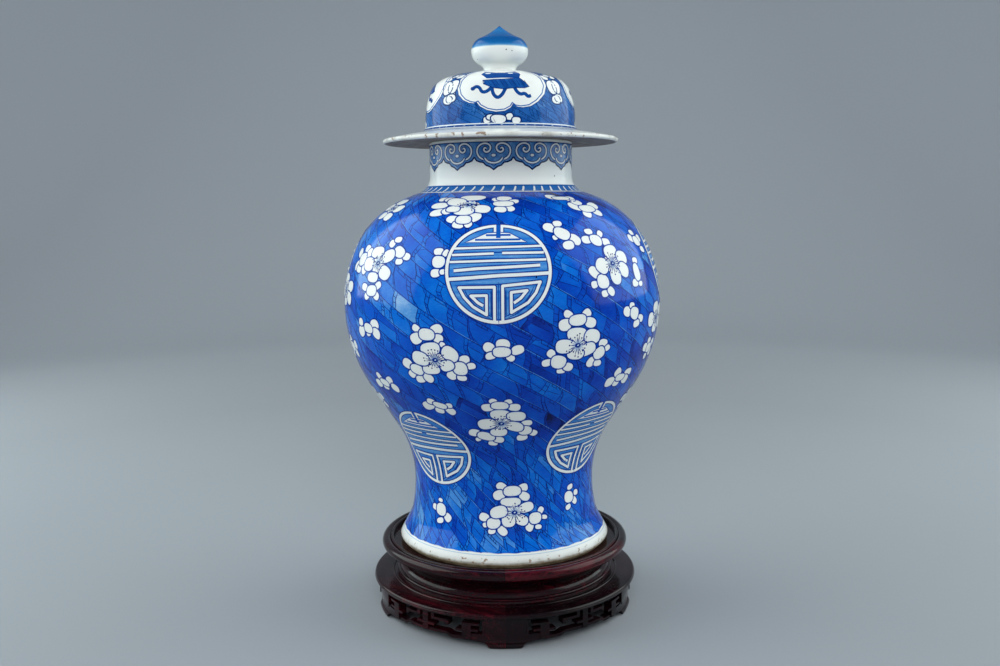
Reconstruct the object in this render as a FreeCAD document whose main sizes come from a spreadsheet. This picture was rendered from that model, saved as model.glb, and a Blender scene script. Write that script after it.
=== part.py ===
"""A lidded porcelain potiche on a round, five-legged hardwood stand. Millimetres, +Z up.

The origin is the middle of the floor under the stand. The photograph looks along +Y, and the
front leg stands at -Y. The jar, the cover and the stand's rings are turned about Z, and the
apron of the stand is pierced with a key fret.
"""
import FreeCAD, Part
import Sketcher
import math
import os

doc = FreeCAD.newDocument("Potiche")
sheet = doc.addObject("Spreadsheet::Sheet", "Sizes")
names_in_sheet = []
V = FreeCAD.Vector


class Size:
    """A size with its number now and the formula of sheet cells that gives it."""

    def __init__(self, number, formula):
        self.number = number
        self.formula = formula

    def joined(self, other, number, text):
        there = other.formula if isinstance(other, Size) else repr(other)
        return Size(number, text.format(self.formula, there))

    def __add__(self, other):
        return self.joined(other, self.number + number_of(other), "({} + {})")

    def __sub__(self, other):
        return self.joined(other, self.number - number_of(other), "({} - {})")

    def __mul__(self, other):
        return self.joined(other, self.number * number_of(other), "({} * {})")

    def __truediv__(self, other):
        return self.joined(other, self.number / number_of(other), "({} / {})")

    def __neg__(self):
        return Size(-self.number, "(0 - {})".format(self.formula))

    __rmul__ = __mul__


def number_of(value):
    """The plain number of a Size or of a number."""
    return value.number if isinstance(value, Size) else float(value)


def size(name, number):
    """Write one named size into the sheet and return it with its formula."""
    row = len(names_in_sheet) + 1
    names_in_sheet.append(name)
    sheet.set("A%d" % row, name)
    sheet.set("B%d" % row, "%.6f" % number)
    sheet.setAlias("B%d" % row, name)
    return Size(number, "Sizes.%s" % name)


# Levels of the stand, from the floor up
leg_height = size("leg_height", 24.1)
flange_thickness = size("flange_thickness", 3.9)
waist_height = size("waist_height", 19.0)
ledge_thickness = size("ledge_thickness", 3.0)
board_thickness = size("board_thickness", 2.9)
lip_height = size("lip_height", 3.6)

flange_top = leg_height + flange_thickness
waist_top = flange_top + waist_height
ledge_top = waist_top + ledge_thickness
seat_level = ledge_top + board_thickness
lip_top = seat_level + lip_height

# Shared by the stand's rings
leg_count = 5
segment_angle = size("segment_angle", 360.0 / leg_count)
half_segment = segment_angle / 2
front_bearing = size("front_bearing", 90.0)
stand_bore_radius = size("stand_bore_radius", 70.0)
joint_clearance = size("joint_clearance", 0.12)
overrun_length = size("overrun_length", 3.0)

# Rim of the stand: a moulded ring with a ledge for the seat board
rim_radius = size("rim_radius", 98.5)
rim_bead_radius = size("rim_bead_radius", 3.9)
rim_bead_level = size("rim_bead_level", 5.0)
rim_bore_radius = size("rim_bore_radius", 89.5)
rim_lip_width = size("rim_lip_width", 2.4)
rim_lip_edge_radius = size("rim_lip_edge_radius", 1.6)
rim_ledge_bore_radius = size("rim_ledge_bore_radius", 72.0)
board_clearance = size("board_clearance", 0.2)

# Waist of the stand: cove over an ovolo and a bead
waist_bead_radius = size("waist_bead_radius", 1.3)
waist_bead_seat_radius = size("waist_bead_seat_radius", 85.9)
waist_plinth_height = size("waist_plinth_height", 1.3)
waist_bead_height = size("waist_bead_height", 2.3)
waist_quirk_width = size("waist_quirk_width", 0.7)
ovolo_height = size("ovolo_height", 6.1)
ovolo_depth = size("ovolo_depth", 5.6)
ovolo_radius = size("ovolo_radius", 6.6)
cove_depth = size("cove_depth", 0.6)
cove_out_width = size("cove_out_width", 9.5)
cove_radius = size("cove_radius", 10.5)

# Flange and pierced apron with the legs
flange_nose_depth = size("flange_nose_depth", 1.5)
flange_reed_height = size("flange_reed_height", 1.5)
flange_reed_radius = size("flange_reed_radius", 0.9)
flange_nose_radius = size("flange_nose_radius", 1.8)
flange_edge_drop_height = size("flange_edge_drop_height", 0.6)
flange_crown_radius = size("flange_crown_radius", 60.0)
flange_bead_outer_radius = size("flange_bead_outer_radius", 91.1)
flange_bead_width = size("flange_bead_width", 1.9)
flange_bead_radius = size("flange_bead_radius", 1.0)
apron_face_radius = size("apron_face_radius", 101.2)
flange_overhang_width = size("flange_overhang_width", 3.8)
flange_radius = apron_face_radius + flange_overhang_width
apron_wall_thickness = size("apron_wall_thickness", 7.2)
apron_tuck_depth = size("apron_tuck_depth", 1.0)
apron_bead_height = size("apron_bead_height", 1.8)
apron_bead_radius = size("apron_bead_radius", 0.95)
apron_belly_radius = size("apron_belly_radius", 40.0)
apron_waist_radius = size("apron_waist_radius", 14.0)
hoof_height = size("hoof_height", 4.4)
hoof_radius = size("hoof_radius", 2.5)
leg_depth = size("leg_depth", 13.0)
half_leg_angle = size("half_leg_angle", 9.2)
window_half_angle = size("window_half_angle", 26.5)
window_low_level = size("window_low_level", 10.5)
window_high_level = size("window_high_level", 22.0)
leg_bead_angle = size("leg_bead_angle", 0.8)
leg_bead_height = size("leg_bead_height", 0.8)
rail_thickness = size("rail_thickness", 2.2)
rail_high_level = size("rail_high_level", 7.6)
rail_low_level = size("rail_low_level", 5.8)
rail_curl_radius = size("rail_curl_radius", 5.2)

# Loose tenons at the butt joints and upright dowels through the layers
tenon_length = size("tenon_length", 12.0)
tenon_thickness = size("tenon_thickness", 3.0)
tenon_width = size("tenon_width", 5.0)
tenon_bow_clearance = size("tenon_bow_clearance", 0.35)
dowel_radius = size("dowel_radius", 1.8)
dowel_ring_radius = size("dowel_ring_radius", 75.6)
dowel_bite_depth = size("dowel_bite_depth", 2.0)

# Jar: outline of tangent arcs, from the belly up and down
jar_height = 313.2
jar_wall_thickness = 6.5
belly_radius = 123.0
belly_level_share = 0.60983
upper_belly_share = 0.31928
upper_belly_angle = 24.0
shoulder_share = 0.76
shoulder_angle = 70.0
neck_radius = 55.0
neck_curve_radius = 13.0
lip_edge_radius = 1.4
side_curve_share = 0.93942
lower_belly_share = 0.58824
waist_radius = 71.0
waist_level_share = 0.15964
below_waist_share = 2.36
below_waist_angle = 12.8
foot_flare_radius = 16.0
foot_flare_angle = 28.5
foot_edge_level = 5.6
foot_edge_radius = 2.4
foot_bevel_width = 3.2
foot_ring_width = 13.5
foot_recess_depth = 9.0
floor_thickness = 7.0
floor_corner_share = 0.64706

# Cover: flange, dome and locating ring, levels counted from the neck's rim
cover_rim_radius = 90.6
cover_rim_edge_radius = 1.7
cover_rim_level = 0.5
cover_slope_angle = 10.6
cover_seat_width = 5.0
dome_wall_radius = 57.6
dome_wall_level = 14.5
dome_wall_curve_radius = 66.0
dome_foot_level = 12.5
dome_foot_fillet_radius = 5.2
dome_wall_angle = 20.0
dome_turn_radius = 16.5
dome_turn_angle = 70.0
dome_crown_radius = 80.0
dome_crown_angle = 80.5
dome_thickness = 5.0
cover_ring_clearance = 1.8
cover_ring_thickness = 4.6
cover_ring_depth = 14.0
cover_ring_chamfer_width = 1.0
cover_throat_level = 3.5

# Knob: an onion on a short neck, levels counted from its seat on the dome
knob_seat_radius = 13.2
knob_neck_radius = 11.9
knob_neck_curve_radius = 7.0
knob_neck_level = 3.2
knob_bulb_radius = 21.8
knob_bulb_level = 15.0
knob_low_curve_radius = 10.8
knob_low_radius = 12.3
knob_high_curve_radius = 10.7
knob_high_angle = 58.0
knob_tip_curve_radius = 70.0
knob_tip_radius = 0.9
knob_height = 33.8
knob_tip_edge_radius = 1.1
knob_tip_flat_radius = 0.3


def plane_of(body, role):
    """One of the body's own origin planes."""
    for feature in body.Origin.OriginFeatures:
        if feature.Role == role:
            return feature
    raise ValueError(role)


def new_body(label, turn=None):
    """A body with its label, turned about Z by the given angle."""
    body = doc.addObject("PartDesign::Body", "Body_" + label)
    body.Label = label
    if turn is not None:
        body.Placement = FreeCAD.Placement(V(), FreeCAD.Rotation(V(0, 0, 1), number_of(turn)))
        body.setExpression("Placement.Rotation.Angle", turn.formula)
    return body


def new_sketch(body, name, role, turn=None):
    """A sketch on the body's own plane, turned about the upright axis when asked."""
    sketch = body.newObject("Sketcher::SketchObject", body.Label + "_" + name)
    sketch.AttachmentSupport = (plane_of(body, role), [""])
    sketch.MapMode = "FlatFace"
    if turn is not None:
        spin = FreeCAD.Rotation(V(0, 1, 0), number_of(turn))
        sketch.AttachmentOffset = FreeCAD.Placement(V(), spin)
        sketch.setExpression("AttachmentOffset.Rotation.Angle", turn.formula)
    return sketch


def arc_middle(start, end, radius, bulge):
    """The point half way along an arc; bulge 1 bows to the right of travel, -1 to the left."""
    chord = end - start
    half = chord.Length / 2
    rise = radius - math.sqrt(max(radius * radius - half * half, 0.0))
    right = V(chord.y, -chord.x, 0)
    right.normalize()
    return (start + end) * 0.5 + right * (bulge * rise)


def hold(sketch, kind, geo, end, value):
    """Hold one coordinate of a point to the axis or to its formula."""
    number = number_of(value)
    if not isinstance(value, Size) and number == 0:
        axis = -2 if kind == "DistanceX" else -1
        sketch.addConstraint(Sketcher.Constraint("PointOnObject", geo, end, axis))
        return
    if number < 0:
        index = sketch.addConstraint(Sketcher.Constraint(kind, geo, end, -1, 1, -number))
        sketch.setExpression("Constraints[%d]" % index, (-value).formula)
        return
    index = sketch.addConstraint(Sketcher.Constraint(kind, -1, 1, geo, end, number))
    sketch.setExpression("Constraints[%d]" % index, value.formula)


def draw(sketch, corners):
    """Draw a closed outline. A corner is (across, up) or (across, up, arc radius, bulge)."""
    points = [V(number_of(c[0]), number_of(c[1]), 0) for c in corners]
    ends = []
    for k, corner in enumerate(corners):
        start, end = points[k - 1], points[k]
        if len(corner) == 2:
            sketch.addGeometry(Part.LineSegment(start, end), False)
            ends.append((1, 2))
        else:
            middle = arc_middle(start, end, number_of(corner[2]), corner[3])
            leftward = corner[3] > 0
            arc = Part.Arc(start, middle, end) if leftward else Part.Arc(end, middle, start)
            sketch.addGeometry(arc, False)
            ends.append((1, 2) if leftward else (2, 1))
    count = len(corners)
    for k, corner in enumerate(corners):
        after = (k + 1) % count
        join = Sketcher.Constraint("Coincident", k, ends[k][1], after, ends[after][0])
        sketch.addConstraint(join)
        hold(sketch, "DistanceX", k, ends[k][1], corner[0])
        hold(sketch, "DistanceY", k, ends[k][1], corner[1])
        if len(corner) == 4:
            radius = corner[2]
            index = sketch.addConstraint(Sketcher.Constraint("Radius", k, number_of(radius)))
            if isinstance(radius, Size):
                sketch.setExpression("Constraints[%d]" % index, radius.formula)
    return sketch


def turned(body, name, corners, angle=None, cut=False, turn=None):
    """Turn an outline about Z, through an angle centred on the sketch, as body or as cut."""
    sketch = draw(new_sketch(body, name + "_outline", "XZ_Plane", turn), corners)
    kind = "PartDesign::Groove" if cut else "PartDesign::Revolution"
    feature = body.newObject(kind, body.Label + "_" + name)
    feature.Profile = (sketch, [""])
    feature.ReferenceAxis = (sketch, ["V_Axis"])
    feature.Angle = 360.0 if angle is None else number_of(angle)
    if angle is not None:
        feature.Midplane = True
        feature.setExpression("Angle", angle.formula)
    sketch.Visibility = False
    return feature


def box_outline(near, far, low, high):
    """Corners of a rectangle in the outline plane."""
    return [(near, low), (far, low), (far, high), (near, high)]


def worked_out(name, corners):
    """Keep the corners of a worked-out outline in the sheet, and give them back bound to it."""
    bound = []
    for k, corner in enumerate(corners):
        across = size("%s_%d_across" % (name, k), corner[0]) if corner[0] else 0
        up = size("%s_%d_up" % (name, k), corner[1]) if corner[1] else 0
        if len(corner) == 2:
            bound.append((across, up))
        else:
            radius = size("%s_%d_radius" % (name, k), corner[2])
            bound.append((across, up, radius, corner[3]))
    return bound


def polar(centre, radius, degrees):
    """The point of a circle at an angle from the outward direction."""
    angle = math.radians(degrees)
    return (centre[0] + radius * math.cos(angle), centre[1] + radius * math.sin(angle))


# Jar: every arc of its outline is tangent to the next, and the inside is a parallel curve

belly_level = jar_height * belly_level_share
waist_level = jar_height * waist_level_share
upper_belly_radius = jar_height * upper_belly_share
shoulder_radius = upper_belly_radius * shoulder_share

# The belly's lower curve and the curve above the waist together just leave room for their common tangent
belly_overhang = belly_radius - waist_radius
belly_rise = belly_level - waist_level
side_curves = side_curve_share * (belly_rise ** 2 + belly_overhang ** 2) / (belly_overhang * 2)
lower_belly_radius = side_curves * lower_belly_share
above_waist_radius = side_curves - lower_belly_radius
below_waist_radius = waist_level * below_waist_share
upper_centre = (belly_radius - upper_belly_radius, belly_level)
shoulder_centre = polar(upper_centre, upper_belly_radius - shoulder_radius, upper_belly_angle)
shoulder_end = polar(shoulder_centre, shoulder_radius, shoulder_angle)
slope_across = math.cos(math.radians(shoulder_angle))
slope_up = math.sin(math.radians(shoulder_angle))
neck_centre_across = neck_radius + neck_curve_radius
neck_run_across = neck_centre_across - shoulder_end[0]
neck_centre_up = shoulder_end[1] + (neck_curve_radius - neck_run_across * slope_across) / slope_up
neck_centre = (neck_centre_across, neck_centre_up)
lower_centre = (belly_radius - lower_belly_radius, belly_level)
waist_centre = (waist_radius + above_waist_radius, waist_level)
waist_reach = math.hypot(waist_centre[0] - lower_centre[0], waist_centre[1] - lower_centre[1])
waist_bearing = math.degrees(math.atan2(waist_centre[1] - lower_centre[1], waist_centre[0] - lower_centre[0]))
waist_slope = waist_bearing + math.degrees(math.acos((lower_belly_radius + above_waist_radius) / waist_reach))
pedestal_centre = (waist_radius + below_waist_radius, waist_level)
flare_start = polar(pedestal_centre, -below_waist_radius, below_waist_angle)
flare_centre = polar(flare_start, foot_flare_radius, below_waist_angle)
flare_end = polar(flare_centre, -foot_flare_radius, foot_flare_angle)
flare_run = (flare_end[1] - foot_edge_level) * math.tan(math.radians(foot_flare_angle))
foot_edge = (flare_end[0] + flare_run, foot_edge_level)
foot_round_centre = polar(foot_edge, -foot_edge_radius, foot_flare_angle)
foot_bevel_angle = -45.0
foot_bevel_start = polar(foot_round_centre, foot_edge_radius, foot_bevel_angle)
foot_bottom_radius = foot_bevel_start[0] - foot_bevel_start[1]
foot_inner_radius = foot_bottom_radius - foot_ring_width
inner_floor = foot_recess_depth + floor_thickness
floor_corner_radius = (waist_level - inner_floor) * floor_corner_share


# Bulge of an arc met on the way down the outside: round bows outward, hollow bows inward
ROUND = -1
HOLLOW = 1


def jar_side(inset):
    """Corners of the jar's side from neck down to waist, at a distance inside the outer skin."""
    return [
        polar(neck_centre, -(neck_curve_radius + inset), 0.0),
        polar(neck_centre, -(neck_curve_radius + inset), shoulder_angle) + (neck_curve_radius + inset, HOLLOW),
        polar(shoulder_centre, shoulder_radius - inset, shoulder_angle),
        polar(shoulder_centre, shoulder_radius - inset, upper_belly_angle) + (shoulder_radius - inset, ROUND),
        polar(upper_centre, upper_belly_radius - inset, 0.0) + (upper_belly_radius - inset, ROUND),
        polar(lower_centre, lower_belly_radius - inset, waist_slope) + (lower_belly_radius - inset, ROUND),
        polar(waist_centre, -(above_waist_radius + inset), waist_slope),
        polar(waist_centre, -(above_waist_radius + inset), 0.0) + (above_waist_radius + inset, HOLLOW),
    ]


def reversed_way(corners):
    """The same corners in the other order of travel, each arc moved to the corner it now ends at."""
    back = []
    for k in range(len(corners) - 1, -1, -1):
        arc = corners[k + 1][2:] if k + 1 < len(corners) else ()
        back.append(corners[k][:2] + ((arc[0], -arc[1]) if arc else ()))
    return back


def raised(corners, level):
    """The corners lifted by a level."""
    return [(c[0], c[1] + level) + tuple(c[2:]) for c in corners]


def build_jar():
    """The hollow jar: foot ring, pedestal, belly, shoulder and neck, all of one wall."""
    outside = jar_side(0.0)
    inside = reversed_way(jar_side(jar_wall_thickness))
    inner_neck = neck_radius - jar_wall_thickness
    corners = [(0, inner_floor)]
    corners.append((inside[0][0] - floor_corner_radius, inner_floor))
    corners.append((inside[0][0], inner_floor + floor_corner_radius, floor_corner_radius, 1))
    corners += inside
    corners.append((inner_neck, jar_height - lip_edge_radius))
    corners.append((inner_neck + lip_edge_radius, jar_height, lip_edge_radius, -1))
    corners.append((neck_radius - lip_edge_radius, jar_height))
    corners.append((neck_radius, jar_height - lip_edge_radius, lip_edge_radius, -1))
    corners += outside
    corners.append(flare_start + (below_waist_radius, 1))
    corners.append(flare_end + (foot_flare_radius, 1))
    corners.append(foot_edge)
    corners.append(foot_bevel_start + (foot_edge_radius, -1))
    corners.append((foot_bottom_radius, 0.0))
    corners.append((foot_inner_radius, 0.0))
    corners.append((foot_inner_radius - foot_edge_radius, foot_recess_depth))
    corners.append((0, foot_recess_depth))
    body = new_body("jar")
    turned(body, "wall", worked_out("jar", raised(corners, seat_level.number)))
    return body


# Cover: a dome on a sloping flange, with a ring under it that drops into the neck
neck_rim = seat_level.number + jar_height
cover_wall_centre = (dome_wall_radius - dome_wall_curve_radius, dome_wall_level)
cover_turn_start = polar(cover_wall_centre, dome_wall_curve_radius, dome_wall_angle)
cover_turn_centre = polar(cover_wall_centre, dome_wall_curve_radius - dome_turn_radius, dome_wall_angle)
cover_crown_centre = polar(cover_turn_centre, dome_turn_radius - dome_crown_radius, dome_turn_angle)
cover_foot_angle = math.degrees(math.asin((dome_foot_level - dome_wall_level) / dome_wall_curve_radius))
cover_foot_start = polar(cover_wall_centre, dome_wall_curve_radius, cover_foot_angle)
cover_foot_centre = (cover_foot_start[0] + dome_foot_fillet_radius, dome_foot_level)
cover_foot_end = polar(cover_foot_centre, -dome_foot_fillet_radius, 90.0 - cover_slope_angle)
cover_edge_centre = (cover_rim_radius - cover_rim_edge_radius, cover_rim_level)
cover_edge_top = polar(cover_edge_centre, cover_rim_edge_radius, 90.0 - cover_slope_angle)
cover_ring_radius = neck_radius - jar_wall_thickness - cover_ring_clearance
cover_ring_bore = cover_ring_radius - cover_ring_thickness


def dome_side(inset):
    """Corners of the dome from its wall to the knob's seat, going up and inward."""
    wall_radius = dome_wall_curve_radius - inset
    crown_end = polar(cover_crown_centre, dome_crown_radius - inset, dome_crown_angle)
    fall = (crown_end[0] - knob_seat_radius) / math.tan(math.radians(dome_crown_angle))
    return [
        polar(cover_wall_centre, wall_radius, dome_wall_angle) + (wall_radius, 1),
        polar(cover_turn_centre, dome_turn_radius - inset, dome_turn_angle) + (dome_turn_radius - inset, 1),
        crown_end + (dome_crown_radius - inset, 1),
        (knob_seat_radius, crown_end[1] + fall),
    ]


def build_cover():
    """The cover: flange, dome and locating ring, thrown in one."""
    outside = dome_side(0.0)
    inside = reversed_way(dome_side(dome_thickness))
    crown = outside[-1][1]
    wall_inside = polar(cover_wall_centre, dome_wall_curve_radius - dome_thickness, cover_foot_angle)
    corners = [(0, crown - dome_thickness), (knob_seat_radius, inside[0][1])]
    corners += inside[1:]
    corners.append(wall_inside + (dome_wall_curve_radius - dome_thickness, -1))
    corners.append((cover_ring_bore, cover_throat_level))
    corners.append((cover_ring_bore, -cover_ring_depth))
    corners.append((cover_ring_radius - cover_ring_chamfer_width, -cover_ring_depth))
    corners.append((cover_ring_radius, cover_ring_chamfer_width - cover_ring_depth))
    corners.append((cover_ring_radius, 0.0))
    corners.append((neck_radius + cover_seat_width, 0.0))
    corners.append((cover_edge_centre[0], cover_rim_level - cover_rim_edge_radius))
    corners.append((cover_rim_radius, cover_rim_level, cover_rim_edge_radius, 1))
    corners.append(cover_edge_top + (cover_rim_edge_radius, 1))
    corners.append(cover_foot_end)
    corners.append(cover_foot_start + (dome_foot_fillet_radius, -1))
    corners += outside
    corners.append((0, crown))
    body = new_body("cover")
    turned(body, "wall", worked_out("cover", raised(corners, neck_rim)))
    return body


def build_cover_knob():
    """The onion knob, luted on to the crown of the dome."""
    seat = neck_rim + dome_side(0.0)[-1][1]
    low_centre = (knob_bulb_radius - knob_low_curve_radius, knob_bulb_level)
    low_level = knob_bulb_level - math.sqrt(knob_low_curve_radius ** 2 - (knob_low_radius - low_centre[0]) ** 2)
    high_centre = (knob_bulb_radius - knob_high_curve_radius, knob_bulb_level)
    high_end = polar(high_centre, knob_high_curve_radius, knob_high_angle)
    corners = [
        (0, 0.0),
        (knob_seat_radius, 0.0),
        (knob_neck_radius, knob_neck_level, knob_neck_curve_radius, -1),
        (knob_low_radius, low_level),
        (knob_bulb_radius, knob_bulb_level, knob_low_curve_radius, 1),
        high_end + (knob_high_curve_radius, 1),
        (knob_tip_radius, knob_height - knob_tip_radius / 2, knob_tip_curve_radius, -1),
        (knob_tip_flat_radius, knob_height, knob_tip_edge_radius, 1),
        (0, knob_height),
    ]
    body = new_body("cover_knob")
    turned(body, "wall", worked_out("knob", raised(corners, seat)))
    return body


# Rings of the stand, each of five butt-jointed segments

def segment_turn(number, joints_at_legs):
    """Bearing of a segment's middle from +X, with its joints over the legs or between them."""
    first = half_segment if joints_at_legs else Size(0.0, "0")
    return first - front_bearing + segment_angle * number


def tenon_centre(ring):
    """Radius and level of a ring's loose tenons."""
    return {
        "rim": (rim_radius - rim_bead_radius, waist_top + rim_bead_level),
        "waist": (dowel_ring_radius, flange_top + waist_height / 2),
        "apron": ((stand_bore_radius + apron_face_radius) / 2, leg_height + flange_thickness / 2),
    }[ring]


tenon_half = {
    "rim": (tenon_thickness / 2, tenon_thickness / 2),
    "waist": (tenon_thickness / 2, tenon_width / 2),
    "apron": (tenon_width / 2, tenon_thickness / 4),
}


def mortises(body, ring):
    """Cut half a mortise into each end of a segment."""
    across, up = tenon_centre(ring)
    half_across, half_up = tenon_half[ring]
    near = across - half_across - joint_clearance
    far = across + half_across + tenon_bow_clearance
    low = up - half_up - joint_clearance
    high = up + half_up + joint_clearance
    reach = (tenon_length + joint_clearance * 4) / (across * (math.pi / 180.0))
    for side, name in ((1, "left"), (-1, "right")):
        turned(body, "mortise_" + name, box_outline(near, far, low, high), reach, True, half_segment * side)


def dowel_holes(body, bearings, low, high):
    """Bore the upright dowel holes of a segment at the given bearings from its middle."""
    for number, bearing in enumerate(bearings):
        hole = body.newObject("PartDesign::SubtractiveCylinder", "%s_dowel_hole_%d" % (body.Label, number))
        spin = FreeCAD.Rotation(V(0, 0, 1), number_of(bearing))
        hole.AttachmentSupport = (plane_of(body, "XY_Plane"), [""])
        hole.MapMode = "FlatFace"
        place = spin.multVec(V(number_of(dowel_ring_radius), 0, number_of(low)))
        hole.AttachmentOffset = FreeCAD.Placement(place, FreeCAD.Rotation())
        angle = "(%s) * 1deg" % bearing.formula
        hole.setExpression("AttachmentOffset.Base.x", "%s * cos(%s)" % (dowel_ring_radius.formula, angle))
        hole.setExpression("AttachmentOffset.Base.y", "%s * sin(%s)" % (dowel_ring_radius.formula, angle))
        hole.setExpression("AttachmentOffset.Base.z", low.formula)
        radius = dowel_radius + joint_clearance
        hole.Radius = number_of(radius)
        hole.setExpression("Radius", radius.formula)
        hole.Height = number_of(high - low)
        hole.setExpression("Height", (high - low).formula)


def rim_outline():
    """Section of the rim: ledge for the board, inner lip, quirk and round outer bead."""
    centre = rim_radius - rim_bead_radius
    level = waist_top + rim_bead_level
    share_in, share_up = rim_bead_chord_shares
    inner_side = centre - rim_bead_radius * share_in
    quirk = inner_side - rim_lip_edge_radius / 4
    lip_outer = rim_bore_radius + rim_lip_width
    return [
        (rim_ledge_bore_radius, waist_top),
        (inner_side, waist_top),
        (inner_side, level - rim_bead_radius * share_up),
        (rim_radius, level, rim_bead_radius, 1),
        (inner_side, level + rim_bead_radius * share_up, rim_bead_radius, 1),
        (lip_outer, level + rim_bead_radius * share_up - rim_lip_edge_radius / 3),
        (lip_outer, lip_top - rim_lip_edge_radius / 2),
        (rim_bore_radius, lip_top - rim_lip_edge_radius / 2, rim_lip_edge_radius, 1),
        (rim_bore_radius, ledge_top),
        (rim_ledge_bore_radius, ledge_top),
    ]


# Where the bead's round starts, as shares of its radius inward and up or down from its middle
rim_bead_chord_shares = (0.6, 0.8)


def place_segments(pattern, label, joints_at_legs):
    """Five copies of a pattern body, turned to their places round the stand."""
    for number in range(leg_count):
        body = new_body("%s_%d" % (label, number + 1), segment_turn(number, joints_at_legs))
        body.BaseFeature = pattern


def build_rim_segments():
    """Five rim segments with their joints over the legs."""
    pattern = new_body("rim_pattern")
    turned(pattern, "moulding", rim_outline(), segment_angle)
    mortises(pattern, "rim")
    dowel_holes(pattern, (half_segment / 2, -(half_segment / 2)), waist_top, waist_top + dowel_bite_depth)
    place_segments(pattern, "rim_segment", True)


def waist_outline():
    """Section of the waist: plinth, bead, quirk, ovolo and cove."""
    bead_low = flange_top + waist_plinth_height
    bead_high = bead_low + waist_bead_height
    ovolo_foot = waist_bead_seat_radius - waist_quirk_width
    ovolo_low = bead_high + waist_quirk_width / 2
    ovolo_head = ovolo_foot - ovolo_depth
    ovolo_top = ovolo_low + ovolo_height
    cove_foot = ovolo_head - cove_depth
    return [
        (stand_bore_radius, flange_top),
        (waist_bead_seat_radius + waist_quirk_width / 2, flange_top),
        (waist_bead_seat_radius, bead_low),
        (waist_bead_seat_radius, bead_high, waist_bead_radius, 1),
        (ovolo_foot, ovolo_low),
        (ovolo_head, ovolo_top, ovolo_radius, 1),
        (cove_foot, ovolo_top),
        (cove_foot + cove_out_width, waist_top, cove_radius, -1),
        (stand_bore_radius, waist_top),
    ]


def build_waist_segments():
    """Five waist segments, staggered so that their joints fall between the legs."""
    pattern = new_body("waist_pattern")
    turned(pattern, "moulding", waist_outline(), segment_angle)
    mortises(pattern, "waist")
    bearings = (half_segment / 2, -(half_segment / 2))
    dowel_holes(pattern, bearings, flange_top - overrun_length, waist_top + overrun_length)
    place_segments(pattern, "waist_segment", False)


def apron_outline():
    """Section of an apron: flange with bead and reeded nose, bellied wall, hoof at the floor."""
    nose = flange_radius - flange_nose_depth
    wall_inside = apron_face_radius - apron_wall_thickness
    hoof_face = apron_face_radius - apron_tuck_depth
    bead_low = leg_height - apron_bead_height
    crown_in = flange_bead_outer_radius
    edge = flange_top - flange_edge_drop_height
    return [
        (stand_bore_radius, leg_height),
        (wall_inside, leg_height),
        (wall_inside, 0),
        (hoof_face, 0),
        (hoof_face, hoof_height, hoof_radius, 1),
        (hoof_face, window_low_level, apron_waist_radius, -1),
        (apron_face_radius, bead_low, apron_belly_radius, 1),
        (apron_face_radius, leg_height, apron_bead_radius, 1),
        (flange_radius - flange_reed_radius / 2, leg_height),
        (flange_radius, leg_height + flange_reed_height, flange_reed_radius, 1),
        (nose, edge, flange_nose_radius, 1),
        (crown_in, edge + flange_edge_drop_height / 2, flange_crown_radius, 1),
        (crown_in - flange_bead_width, edge + flange_edge_drop_height / 2, flange_bead_radius, 1),
        (crown_in - flange_bead_width - flange_edge_drop_height, flange_top),
        (stand_bore_radius, flange_top),
    ]


# Bars of the key fret: from and to as shares of the window's half angle from the apron's middle,
# low and high as shares of the window's height. Those away from the middle are made on both sides.
fret_middle_shares = [
    (0.053, 0.0, 1.0),
    (0.17, 0.14, 0.31),
]
fret_side_shares = [
    (0.113, 0.17, 0.57, 1.0),
    (0.113, 0.434, 0.57, 0.74),
    (0.377, 0.434, 0.39, 0.74),
    (0.555, 0.66, 0.11, 0.26),
    (0.66, 0.811, 0.0, 0.695),
    (0.66, 0.932, 0.55, 0.695),
    (0.66, 0.925, 0.16, 0.30),
]
# The waved rail under the fret, as shares of the middle-to-leg chord
rail_wave_shares = (0.265, 0.33, 0.396, 0.512)
# The bracket's and the foot's lower outline: shares of the same chord, and of the rail's low level
bracket_foot_shares = ((0.515, 1.02), (0.66, 0.93), (0.772, 0.74), (0.808, 0.62), (0.86, 0.0))


def rail_wave(thicker):
    """Right half of the rail's waved line at a height above its lower edge."""
    chord = apron_face_radius * math.sin(math.radians(number_of(half_segment)))
    first, middle, last, end = [chord * share for share in rail_wave_shares]
    low = rail_low_level + thicker
    high = rail_high_level + thicker
    between = (low + high) / 2
    return [
        (first, high),
        (middle, between, rail_curl_radius, -1),
        (last, low, rail_curl_radius, 1),
        (end, low),
    ]


def mirrored(corners):
    """The same line on the other side of the middle, met in the other order."""
    back = []
    for k in range(len(corners) - 1, -1, -1):
        arc = corners[k + 1][2:] if k + 1 < len(corners) else ()
        back.append((-corners[k][0], corners[k][1]) + tuple(arc))
    return back


def cut_through(body, name, corners):
    """Cut an outline through the apron, square to its middle."""
    sketch = draw(new_sketch(body, name + "_outline", "YZ_Plane"), corners)
    feature = body.newObject("PartDesign::Pocket", body.Label + "_" + name)
    feature.Profile = (sketch, [""])
    feature.Reversed = True
    length = flange_radius + overrun_length
    feature.Length = number_of(length)
    feature.setExpression("Length", length.formula)
    sketch.Visibility = False
    return feature


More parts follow.
